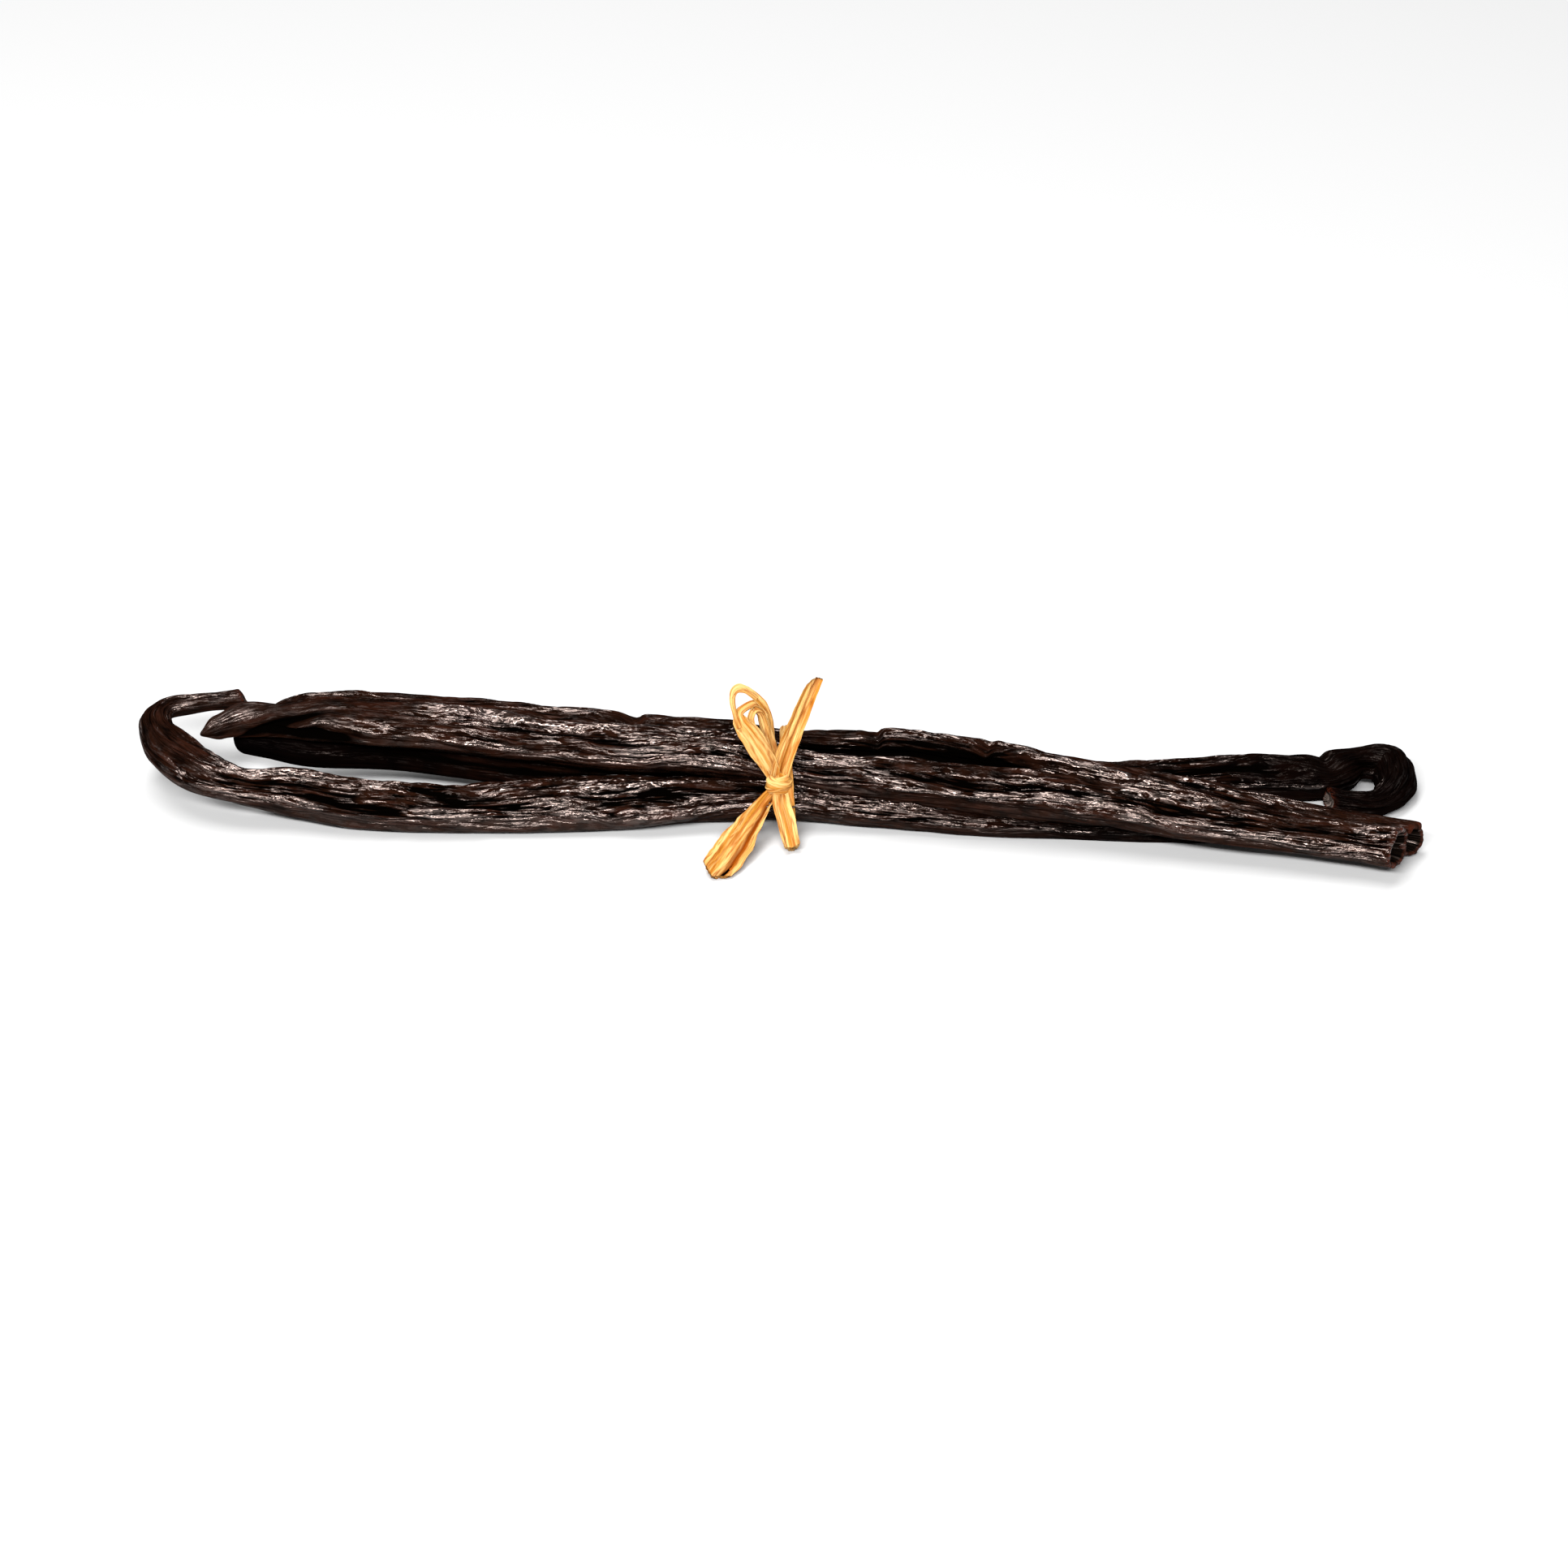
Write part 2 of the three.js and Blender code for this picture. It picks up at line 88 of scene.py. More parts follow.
# spine: points on the pod's middle line, mm. girth: [mm along, width, thickness, roll].
# creases: [count round the skin, share of the radius, phase, turns along the pod].
# folds: [mm along, depth, reach before, reach after]. lines: rolls and furrows that run along
# the pod, as lists of [mm along, degrees round from the top, height], a furrow's below zero.
# surface: [mm along, depth of the wrinkles, oiliness, brown against black], where the black is the
# skin's own near black and also painted shade where a pod lies under another. slant: how far the cut at
# an end leans, sideways and back. hollow: how deep its mouth is, 1 for all of MOUTH.
PODS = {
    "pod_front": {
        "ends": ["round", "mouth"],
        "spine": [
            [-85.7, 2.7, 10.7], [-82.4, 3.6, 11.7], [-79, 4.4, 12.3], [-74, 4.5, 12.3],
            [-60, 3.8, 11.8], [-46, 3.1, 11], [-36, 1.9, 10], [-22, 1, 9.3], [-7, 0.4, 8.6],
            [1.5, -1.2, 7.7], [9, -2.9, 7.2], [28.3, -6.6, 7], [42, -9, 6.7], [56, -12.5, 5.9],
            [75, -16.2, 4.9], [88.8, -19.6, 4.5],
        ],
        "girth": [
            [0, 1.4, 1, 66], [3, 3.6, 1.5, 66], [7, 5.2, 2.2, 60], [12, 5, 4, 35],
            [20, 6.6, 5.4, 0], [30, 7.2, 5.8, 0], [44, 7.3, 6, 0], [52, 6.6, 5.5, 0],
            [64, 7.6, 6.3, 0], [78, 7.8, 6.4, 0], [88, 5.6, 4.6, 0], [94, 5.8, 4.8, 0],
            [104, 7, 5.9, 0], [128, 7.4, 6.2, 0], [143, 6.4, 5.2, 0], [172, 6.1, 5, 0],
            [178, 6.4, 5.6, 0],
        ],
        "creases": [[3, 0.05, 0.4, 0.35], [5, 0.03, 1.1, 0.5]],
        "folds": [],
        "lines": [
            [[4, 95, 0], [7, 75, -0.9], [10, 52, -1.3], [14, 34, -1.1], [20, 28, -0.3], [24, 28, 0]],
            [[13, 52, 0], [15, 48, 0.5], [20, 62, 0.4], [28, 66, 0]],
            [[26, -30, 0], [36, -22, 0.5], [52, -6, 0.6], [64, 18, 0.6], [74, 36, 0]],
            [[38, 0, 0], [50, 14, -0.6], [62, 36, -0.6], [70, 52, 0]],
            [[94, 60, 0], [104, 70, 0.5], [130, 62, 0.55], [160, 66, 0.5], [174, 66, 0]],
            [[98, 34, 0], [108, 44, -0.5], [134, 38, -0.5], [164, 40, -0.4], [174, 40, 0]],
            [[6, 50, 0], [9, 60, -0.8], [12, 75, -1.7], [16, 92, -1.9], [21, 108, -0.8], [25, 110, 0]],
        ],
        "surface": [
            [0, 0.04, 0.2, 0.8], [12, 0.06, 0.21, 0.75], [26, 0.3, 0.5, 1], [40, 0.5, 0.9, 1],
            [66, 0.5, 0.9, 1], [84, 0.7, 0.78, 1], [98, 0.77, 0.78, 1], [112, 0.8, 0.36, 1],
            [134, 0.8, 0.52, 1], [178, 0.7, 0.78, 1],
        ],
        "seed": 11.0, "slant": [0.9, 0.2], "hollow": 1.0,
    },
    "pod_hooked": {
        "ends": ["mouth", "round"],
        "spine": [
            [-80.7, 16, 9.4], [-87.8, 13.9, 9.8], [-92, 12.7, 9.5], [-93.4, 9.3, 8.9],
            [-90.8, 3.9, 7.9], [-86.2, -0.7, 6.8], [-79, -3.8, 5.5], [-72, -3.7, 4.7],
            [-62, -5.1, 3.6], [-46, -5.4, 3], [-30, -4.4, 3], [-12, -3.7, 3.1], [1, -4.3, 3.4],
            [12, -4.9, 2.6], [28.3, -7.3, 2.1], [45, -8.6, 1.9], [69, -9.7, 1.3],
        ],
        "girth": [
            [0, 3, 2.8, 0], [5, 2.6, 2.4, 0], [12, 3.3, 3, 0], [16, 4.6, 3.8, 0],
            [22, 6.2, 4.6, 10], [29, 6.8, 5, 10], [37, 5.8, 4.8, 0], [44, 7.5, 6.4, 0],
            [54, 7.8, 6.3, 0], [68, 7.6, 6.3, 0], [92, 8.2, 6.8, 0], [106, 6.6, 5.8, 0],
            [117, 5.2, 4.6, 0], [130, 5.6, 4.8, 0], [161, 4.6, 4, 0], [176, 3.6, 3.2, 0],
            [185, 2.4, 2.2, 0],
        ],
        "creases": [[3, 0.04, 2, 0.5], [5, 0.04, 0.3, 0.6]],
        "folds": [[69, 0.6, 8, 6]],
        "lines": [
            [[34, 20, 0], [42, 35, -0.6], [56, 60, -0.6], [64, 75, 0]],
            [[58, 0, 0], [64, 10, -0.7], [70, 35, -0.7], [80, 50, 0]],
            [[84, 60, 0], [92, 40, -0.5], [110, 20, -0.5], [118, 10, 0]],
            [[90, 95, 0], [96, 90, 0.5], [116, 80, 0.4], [124, 70, 0]],
        ],
        "surface": [
            [0, 0.2, 0.3, 0.8], [15, 0.3, 0.35, 0.9], [25, 0.5, 0.5, 1], [34, 0.7, 0.9, 1],
            [46, 0.7, 0.72, 1], [130, 0.7, 0.72, 1], [146, 0.65, 0.5, 0.6], [160, 0.58, 0.25, 0.15],
            [185, 0.5, 0.2, 0.15],
        ],
        "seed": 23.0, "slant": [0.0, -0.8], "hollow": 0.4,
    },
    "pod_curled": {
        "ends": ["round", "mouth"],
        "spine": [
            [-81.3, 7.4, 8.2], [-76, 6.5, 7.7], [-70, 5.3, 7], [-58, 5.9, 6], [-43.6, 4.5, 4.6],
            [-32, 4.2, 2.9], [-20, 4, 2.4], [-9, 3.8, 2.9], [1, 3.6, 3.4], [11, 2.9, 2.7],
            [28.7, 2.5, 2.5], [52.8, 3.2, 2.7], [66, 3.8, 2.9], [76, 3.6, 3.2], [81, 4.1, 3],
            [86, 6.9, 3.2], [90.5, 7.1, 3.1], [91.3, 4.4, 2.8], [90.5, 0.4, 2.5], [87.9, -2.2, 1.9],
            [84, -2.2, 1.8], [81, -1.2, 1.7],
        ],
        "girth": [
            [0, 5.6, 5.2, 0], [5, 6, 5.4, 0], [60, 5.8, 5.2, 0], [82, 5, 4.4, 0],
            [92, 5.6, 5, 0], [110, 6, 5.2, 0], [134, 6.6, 5.6, 0], [157, 7.4, 6.4, 0],
            [165, 7.2, 6.2, 0], [169, 4.8, 4.6, 0], [174, 6.4, 5.4, 0], [178, 6, 5, 0],
            [181, 4.8, 4.4, 0], [184, 3.8, 3.6, 0], [190, 3.5, 3.4, 0],
        ],
        "creases": [[3, 0.05, 1.2, 0.3], [5, 0.03, 0, 0.5]],
        "folds": [[163, 1, 3, 2]],
        "lines": [
            [[6, 30, 0], [20, 40, 0.5], [50, 35, 0.4], [60, 30, 0]],
            [[14, 60, 0], [26, 64, -0.5], [54, 60, -0.5], [60, 60, 0]],
            [[120, 40, 0], [130, 50, -0.5], [150, 40, -0.6], [160, 20, 0]],
            [[166, 20, 0], [170, 60, -0.5], [176, 110, -0.5], [180, 150, 0]],
            [[166, 150, 0], [169, 150, -1.1], [172, 145, -1.1], [175, 140, 0]],
        ],
        "surface": [
            [0, 0.06, 0, 0], [22, 0.1, 0, 0.1], [50, 0.2, 0.1, 0.5], [90, 0.5, 0.35, 0.6],
            [140, 0.6, 0.3, 0.5], [156, 0.4, 0.17, 0.15], [180, 0.3, 0.15, 0.1], [190, 0.3, 0.03, 0.1],
        ],
        "seed": 37.0, "slant": [-1.1, 0.2], "hollow": 0.25,
    },
    "pod_rear": {
        "ends": ["round", "mouth"],
        "spine": [
            [-75.6, 8.6, 11.7], [-68, 9.5, 11.3], [-61, 9.8, 10.7], [-52, 9.7, 9.9],
            [-43.7, 8.8, 9.6], [-31.6, 7.2, 9.2], [-19.5, 6.5, 8.6], [-7.5, 6, 8.1],
            [0.8, 5, 7.7], [7, 3.9, 8], [16.6, 3.4, 8], [28.5, 0.8, 7.6], [40.3, -2.6, 7.1],
            [52, -6.1, 6.5], [63.8, -8.4, 5.8], [75.4, -10.8, 4.2], [86.9, -13, 3.2],
            [91.7, -14.9, 2.9],
        ],
        "girth": [
            [0, 2.2, 1.8, 0], [6, 4.7, 3.8, 0], [14, 6.1, 4.9, 0], [24, 6.8, 5.5, 0],
            [43, 6.7, 5.6, 0], [68, 6.2, 5.4, 0], [77, 5, 4.2, 0], [84, 5.6, 4.4, 0],
            [93, 6.4, 5.4, 0], [116, 6.4, 5.6, 0], [130, 6.2, 5.2, 0], [153, 4.9, 4.3, 0],
            [165, 4.5, 4, 0], [170, 4.8, 4.4, 0],
        ],
        "creases": [[3, 0.05, 0, 0.4], [5, 0.03, 2.1, 0.4]],
        "folds": [[54.5, 1.5, 3.4, 1.3], [90.5, 1.1, 3, 1], [107, 0.9, 2.4, 1.2]],
        "lines": [
            [[74, 72, 0], [80, 70, -1.6], [96, 66, -1.8], [108, 62, -1.7], [118, 68, 0]],
            [[76, 50, 0], [84, 48, -0.5], [96, 44, -0.8], [107, 42, -0.6], [114, 54, 0]],
            [[108, 0, 0], [112, 22, 0.6], [124, 34, 0.5], [132, 40, 0]],
            [[126, 0, 0], [134, 12, -0.5], [150, 40, -0.4], [158, 50, 0]],
        ],
        "surface": [
            [0, 0.3, 0.3, 0.9], [40, 0.45, 0.5, 1], [70, 0.45, 0.45, 1], [90, 0.5, 0.35, 0.8],
            [170, 0.5, 0.6, 1],
        ],
        "seed": 53.0, "slant": [0.9, 0.2], "hollow": 1.0,
    },
}
LINES = max(len(pod["lines"]) for pod in PODS.values())  # of the pod that has the most


def path_through(points, steps=48):
    """A smooth line through the points, whose bends stay where the points are close."""
    points = np.array(points, float)
    points = np.vstack([2 * points[0] - points[1], points, 2 * points[-1] - points[-2]])
    t = np.linspace(0, 1, steps, endpoint=False)[:, None]
    line = []
    for p0, p1, p2, p3 in zip(points, points[1:], points[2:], points[3:]):
        a, b, c = (math.sqrt(np.linalg.norm(q - p)) for p, q in ((p0, p1), (p1, p2), (p2, p3)))
        out = b * ((p1 - p0) / a - (p2 - p0) / (a + b)) + (p2 - p1)
        into = (p2 - p1) + b * ((p3 - p2) / c - (p3 - p1) / (b + c))
        line.append(p1 + out * t + (3 * (p2 - p1) - 2 * out - into) * t**2
                    + (2 * (p1 - p2) + out + into) * t**3)
    return np.vstack([*line, points[-2]])


def reach_along(line):
    """How far along a line each of its points is."""
    return np.concatenate([[0], np.cumsum(np.linalg.norm(np.diff(line, axis=0), axis=1))])


def points_on(line, reach, places):
    """The points of a line at the given places along it."""
    return np.stack([np.interp(places, reach, line[:, k]) for k in range(3)], 1)


def eased(stations, column, places):
    """A column of a list of stations at the given places, eased from station to station."""
    at = np.array([s[0] for s in stations], float)
    values = np.array([s[column] for s in stations], float)
    k = np.clip(np.searchsorted(at, places, side="right") - 1, 0, len(at) - 2)
    t = np.clip((places - at[k]) / (at[k + 1] - at[k]), 0, 1)
    return values[k] + (values[k + 1] - values[k]) * t * t * (3 - 2 * t)


def unit(vectors):
    """The vectors, each drawn out or in to a length of one."""
    return vectors / np.linalg.norm(vectors, axis=-1, keepdims=True)


def rail_object(name, points, **measures):
    """A chain of points that carries the measures of each section along it."""
    mesh = bpy.data.meshes.new(name)
    mesh.from_pydata([tuple(p) for p in points], [(i, i + 1) for i in range(len(points) - 1)], [])
    for key, values in measures.items():
        values = np.asarray(values, np.float32)
        if values.ndim == 2:
            layer = mesh.attributes.new(key, "FLOAT_VECTOR", "POINT")
            layer.data.foreach_set("vector", values.ravel())
        else:
            mesh.attributes.new(key, "FLOAT", "POINT").data.foreach_set("value", values)
    rail = bpy.data.objects.new(name, mesh)
    scene.collection.objects.link(rail)
    return rail


def pod_sections(line, ends):
    """A pod's sections from end to end, which stand closer where it closes or rolls over."""
    reach = reach_along(line)
    length = reach[-1]
    fine = np.linspace(0, length, FINE_PLACES)
    weight = np.cumsum(np.max([
        np.where(away < (ROUND_END if kind == "round" else LIP * 2), END_WEIGHT, 1.0)
        for away, kind in zip([fine, length - fine], ends)], axis=0))
    weight = (weight - weight[0]) / (weight[-1] - weight[0])
    along = np.interp(np.linspace(0, 1, POD_RINGS), weight, fine)
    closing = np.ones(POD_RINGS)
    for away, kind in zip([along, length - along], ends):
        t = np.clip(away / (ROUND_END if kind == "round" else LIP), 0, 1)
        bulge = np.sqrt(np.maximum(1 - (1 - t) ** 2, TIP))
        closing *= bulge if kind == "round" else 1 - LIP_DROP * (1 - bulge)
    ahead = points_on(line, reach, np.minimum(along + RUN_REACH, length))
    behind = points_on(line, reach, np.maximum(along - RUN_REACH, 0))
    return {"middle": points_on(line, reach, along), "run": unit(ahead - behind),
            "along": along, "closing": closing, "inward": np.zeros(POD_RINGS)}


def with_mouth(sections, hollow, at_far_end):
    """The sections, with those down the hollow of a cut end added at that end."""
    mouth = np.array(MOUTH) * [1, hollow]
    last, inwards = (-1, -1) if at_far_end else (0, 1)
    inside = {
        "middle": sections["middle"][last] + sections["run"][last] * (mouth[:, 1:] * inwards),
        "run": np.repeat(sections["run"][last][None], len(mouth), 0),
        "along": np.full(len(mouth), sections["along"][last]),
        "closing": mouth[:, 0], "inward": np.maximum(mouth[:, 1], INSIDE),
    }
    if at_far_end:
        return {key: np.concatenate([sections[key], inside[key]]) for key in inside}
    return {key: np.concatenate([inside[key][::-1], sections[key]]) for key in inside}


def pod_rail(name, pod):
    """The rail of a pod: its sections with their sizes, folds, rolls and furrows."""
    line = path_through(pod["spine"])
    length = reach_along(line)[-1]
    sections = pod_sections(line, pod["ends"])
    cut_ends = [far for far, kind in enumerate(pod["ends"]) if kind == "mouth"]
    for far in cut_ends:
        sections = with_mouth(sections, pod["hollow"], far)
    middle, run, along = sections.pop("middle"), sections["run"], sections["along"]
    side = unit(np.cross(run, UP))
    top = np.cross(side, run)
    roll = np.radians(eased(pod["girth"], 3, along))[:, None]
    side, top = side * np.cos(roll) - top * np.sin(roll), top * np.cos(roll) + side * np.sin(roll)
    fold = np.zeros(len(along))
    for place, depth, before, after in pod["folds"]:
        away = np.where(along < place, (place - along) / before, (along - place) / after)
        fold += depth * np.maximum(0, 1 - away**1.4) ** 2
    from_mouth = np.min([np.abs(along - (length if far else 0)) for far in cut_ends], axis=0)
    measures = {key: eased(pod["surface"], k + 1, along)
                for k, key in enumerate(("wrinkle", "oil", "tone"))}
    for k in range(LINES):
        stations = pod["lines"][k] if k < len(pod["lines"]) else [[0, 0, 0], [1, 0, 0]]
        measures[f"line_{k}_angle"] = np.radians(eased(stations, 1, along))
        measures[f"line_{k}_height"] = eased(stations, 2, along) * MM
    return rail_object(
        name + "_rail", (middle + KNOT_TO_ORIGIN) * MM, side=side, top=top, fold=fold * MM,
        share=along / length, width=eased(pod["girth"], 1, along) * MM,
        thickness=eased(pod["girth"], 2, along) * MM,
        rim=np.clip(1 - from_mouth / RIM_REACH, 0, 1) ** 1.5, **sections, **measures,
    )


class Wire:
    """A value on its way between two nodes. Python's operators add the nodes of a sum."""

    def __init__(self, board, socket):
        self.board = board
        self.socket = socket

    def maths(self, operation, *others):
        return self.board.node("ShaderNodeMath", {"operation": operation},
                               dict(enumerate((self, *others))))

    def __add__(self, other):
        return self.maths("ADD", other)

    __radd__ = __add__

    def __sub__(self, other):
        return self.maths("SUBTRACT", other)

    def __rsub__(self, other):
        return self.board.node("ShaderNodeMath", {"operation": "SUBTRACT"}, {0: other, 1: self})

    def __mul__(self, other):
        return self.maths("MULTIPLY", other)

    __rmul__ = __mul__

    def __truediv__(self, other):
        return self.maths("DIVIDE", other)

    def __pow__(self, other):
        return self.maths("POWER", other)

    def __abs__(self):
        return self.maths("ABSOLUTE")

    def __neg__(self):
        return self.maths("MULTIPLY", -1.0)

    def other(self, name):
        """Another output of the node that this value comes from."""
        return Wire(self.board, self.socket.node.outputs[name])


class Board:
    """A node tree that nodes are added to."""

    def __init__(self, tree):
        self.tree = tree

    def node(self, kind, settings=None, sockets=None, out=0):
        made = self.tree.nodes.new(kind)
        for name, value in (settings or {}).items():
            setattr(made, name, value)
        for name, value in (sockets or {}).items():
            if isinstance(value, Wire):
                self.tree.links.new(value.socket, made.inputs[name])
            else:
                made.inputs[name].default_value = value
        return Wire(self, made.outputs[out])

    def vector(self, x, y, z):
        return self.node("ShaderNodeCombineXYZ", None, {0: x, 1: y, 2: z})

    def vectors(self, operation, *values):
        return self.node("ShaderNodeVectorMath", {"operation": operation}, dict(enumerate(values)))

    def scaled(self, vector, factor):
        return self.node("ShaderNodeVectorMath", {"operation": "SCALE"},
                         {"Vector": vector, "Scale": factor})

    def noise(self, place, scale=1.0, detail=0.0, roughness=0.5):
        return self.node("ShaderNodeTexNoise", None, {
            "Vector": place, "Scale": scale, "Detail": detail, "Roughness": roughness})

    def ranged(self, value, low, high, to_low=0.0, to_high=1.0, kind="LINEAR"):
        return self.node("ShaderNodeMapRange", {"interpolation_type": kind}, {
            "Value": value, "From Min": low, "From Max": high, "To Min": to_low, "To Max": to_high})


class TubeBoard(Board):
    """A Geometry Nodes tree with named inputs, which makes a tube round a rail. It starts from
    a straight tube that has a ring of corners for each section of the rail."""

    def __init__(self, name, inputs):
        super().__init__(bpy.data.node_groups.new(name, "GeometryNodeTree"))
        self.tree.is_modifier = True
        face = self.tree.interface
        face.new_socket("Geometry", in_out="INPUT", socket_type="NodeSocketGeometry")
        face.new_socket("Geometry", in_out="OUTPUT", socket_type="NodeSocketGeometry")
        self.sockets = {}
        for key, kind in inputs.items():
            socket = face.new_socket(key, in_out="INPUT", socket_type="NodeSocket" + kind)
            self.sockets[key] = socket.identifier
        self.entry = self.tree.nodes.new("NodeGroupInput")
        self.rail = self.given("Geometry")
        count = self.node("GeometryNodeAttributeDomainSize", {"component": "MESH"},
                          {"Geometry": self.rail})
        self.tube = self.node("GeometryNodeMeshCylinder", {"fill_type": "TRIANGLE_FAN"}, {
            "Vertices": self.given("Sides"), "Side Segments": count - 1, "Radius": 1.0,
            "Depth": 1.0})
        here = self.node("GeometryNodeInputPosition")
        self.across = self.node("ShaderNodeSeparateXYZ", None, {0: here})
        self.away = self.across.other("Y")
        self.reach = (self.across * self.across + self.away * self.away).maths("SQRT")
        self.index = ((self.across.other("Z") + 0.5) * (count - 1)).maths("ROUND")
        self.middle = self.at_section(here, "FLOAT_VECTOR")

    def given(self, name):
        return Wire(self, self.entry.outputs[name])

    def at_section(self, value, kind, index=None):
        """The rail's value at a corner's own section, or at the one with the index."""
        return self.node("GeometryNodeSampleIndex", {"data_type": kind},
                         {"Geometry": self.rail, "Value": value, "Index": index or self.index})

    def carried(self, name, kind="FLOAT", index=None):
        """What the rail carries under a name."""
        here = self.node("GeometryNodeInputNamedAttribute", {"data_type": kind}, {"Name": name})
        return self.at_section(here, kind, index)

    def stored(self, mesh, name, value, kind="FLOAT"):
        return self.node("GeometryNodeStoreNamedAttribute", {"data_type": kind},
                         {"Geometry": mesh, "Name": name, "Value": value})

    def offset(self, sideways, upwards):
        """A way to the side of a section and up from it."""
        return self.vectors("ADD", self.scaled(self.carried("side", "FLOAT_VECTOR"), sideways),
                            self.scaled(self.carried("top", "FLOAT_VECTOR"), upwards))

    def pressed(self, spot, deepest):
        """The spot, moved out of the neighbours and the table where it would lie in them."""
        laid = self.node("GeometryNodeRealizeInstances", None, {"Geometry": self.node(
            "GeometryNodeCollectionInfo", None, {"Collection": self.given("Neighbours")})})
        near = self.node("GeometryNodeProximity", {"target_element": "FACES"},
                         {"Geometry": laid, "Sample Position": spot})
        facing = self.node("GeometryNodeSampleNearestSurface", {"data_type": "FLOAT_VECTOR"}, {
            "Mesh": laid, "Value": self.node("GeometryNodeInputNormal"), "Sample Position": spot})
        off = self.vectors("SUBTRACT", spot, near)
        clear = self.vectors("DOT_PRODUCT", off, facing).other("Value")
        push = (self.given("Gap") - clear).maths("MAXIMUM", 0.0) * near.other("Is Valid")
        spot = self.vectors("ADD", spot, self.scaled(facing, push.maths("MINIMUM", deepest)))
        split = self.node("ShaderNodeSeparateXYZ", None, {0: spot})
        above = split.other("Z").maths("MAXIMUM", ABOVE_TABLE * MM)
        return self.vector(split, split.other("Y"), above)

    def finished(self, mesh, spot):
        """The corners are moved to their spots, and the mesh gets its material."""
        placed = self.node("GeometryNodeSetPosition", None, {"Geometry": mesh, "Position": spot})
        smooth = self.node("GeometryNodeSetShadeSmooth", None, {"Geometry": placed})
        real = self.node("GeometryNodeRealizeInstances", None, {"Geometry": smooth})
        last = self.node("GeometryNodeSetMaterial", None,
                         {"Geometry": real, "Material": self.given("Material")})
        out = self.tree.nodes.new("NodeGroupOutput")
        self.tree.links.new(last.socket, out.inputs[0])


def grown(rail, board, name, values):
    """The plain mesh that a tree grows round a rail."""
    modifier = rail.modifiers.new("grow", "NODES")
    modifier.node_group = board.tree
    for key, value in values.items():
        modifier[board.sockets[key]] = value
    graph = bpy.context.evaluated_depsgraph_get()
    mesh = bpy.data.meshes.new_from_object(
        rail.evaluated_get(graph), preserve_all_data_layers=True, depsgraph=graph)
    mesh.name = name
    piece = bpy.data.objects.new(name, mesh)
    scene.collection.objects.link(piece)
    rail.modifiers.remove(modifier)
    bpy.data.objects.remove(rail)
    return piece


# The tree that grows a pod's skin: a tube with one ring of corners for each section. The ring
# stands on the section's own width and thickness. Creases, rolls and wrinkles run along it.
skin = TubeBoard("Pod skin", {
    "Sides": "Int", "Mean radius": "Float", "Roll depth": "Float", "Roll width": "Float",
    "Roll length": "Float", "Wrinkle width": "Float", "Wrinkle length": "Float",
    "Wander": "Float", "Seed": "Float", "Gap": "Float",
    "Crease depth 3": "Float", "Crease depth 5": "Float", "Crease phase 3": "Float",
    "Crease phase 5": "Float", "Crease turns 3": "Float", "Crease turns 5": "Float",
    "Line width": "Float", "Rim slant": "Float", "Rim lean": "Float", "Rim depth": "Float",
    "Rim flare": "Float", "Fold wander": "Float",
    "Neighbours": "Collection", "Material": "Material",
})
angle = skin.away.maths("ARCTAN2", skin.across)  # round from the pod's top
angle_cos, angle_sin = angle.maths("COSINE"), angle.maths("SINE")
along, rim, seed = skin.carried("along"), skin.carried("rim"), skin.given("Seed")
swell = 1.0
for n in (3, 5):
    turn = skin.given(f"Crease turns {n}") * skin.carried("share") * math.tau + angle
    wave = (turn * float(n) + skin.given(f"Crease phase {n}")).maths("COSINE")
    swell = skin.given(f"Crease depth {n}") * wave + swell

# The wrinkles wander sideways as they run along, so each place looks them up a little aside.
SWAY_ROUND, SWAY_ALONG = 0.6, 0.07  # how busy it is round the pod, and for each mm along it
LINE_SWAY = 0.8  # radians, for the rolls and furrows of the list
sway = skin.noise(skin.vector(angle_cos * SWAY_ROUND + seed, angle_sin * SWAY_ROUND,
                              along * SWAY_ALONG), detail=2.0) - 0.5
aside = sway * skin.given("Wander") + angle
radius = skin.given("Mean radius")
cosine, sine = aside.maths("COSINE") * radius, aside.maths("SINE") * radius


def ridges(width, length, drift):
    """Rounded rolls with narrow valleys between them, from 0 in a valley upwards. The drift
    keeps one set of rolls from falling in with another."""
    place = skin.vector(cosine / width + seed, sine / width + drift, along / length)
    return (abs(skin.noise(place) - 0.5) * 2.0) ** 0.7


rolls = ridges(skin.given("Roll width"), skin.given("Roll length"), 3.1)
wrinkles = ridges(skin.given("Wrinkle width"), skin.given("Wrinkle length"), 7.7)
small = ridges(skin.given("Wrinkle width") * 0.55, skin.given("Wrinkle length") * 0.5, 12.3)
PATCH = {"width": 5.0, "length": 11.0}  # mm, where the wrinkles are deep or shallow together
patch = skin.noise(skin.vector(cosine / PATCH["width"], sine / PATCH["width"] + seed,
                               along / PATCH["length"]), detail=1.0)
patch = skin.ranged(patch, 0.36, 0.6, 0.55, 1.25, "SMOOTHSTEP")

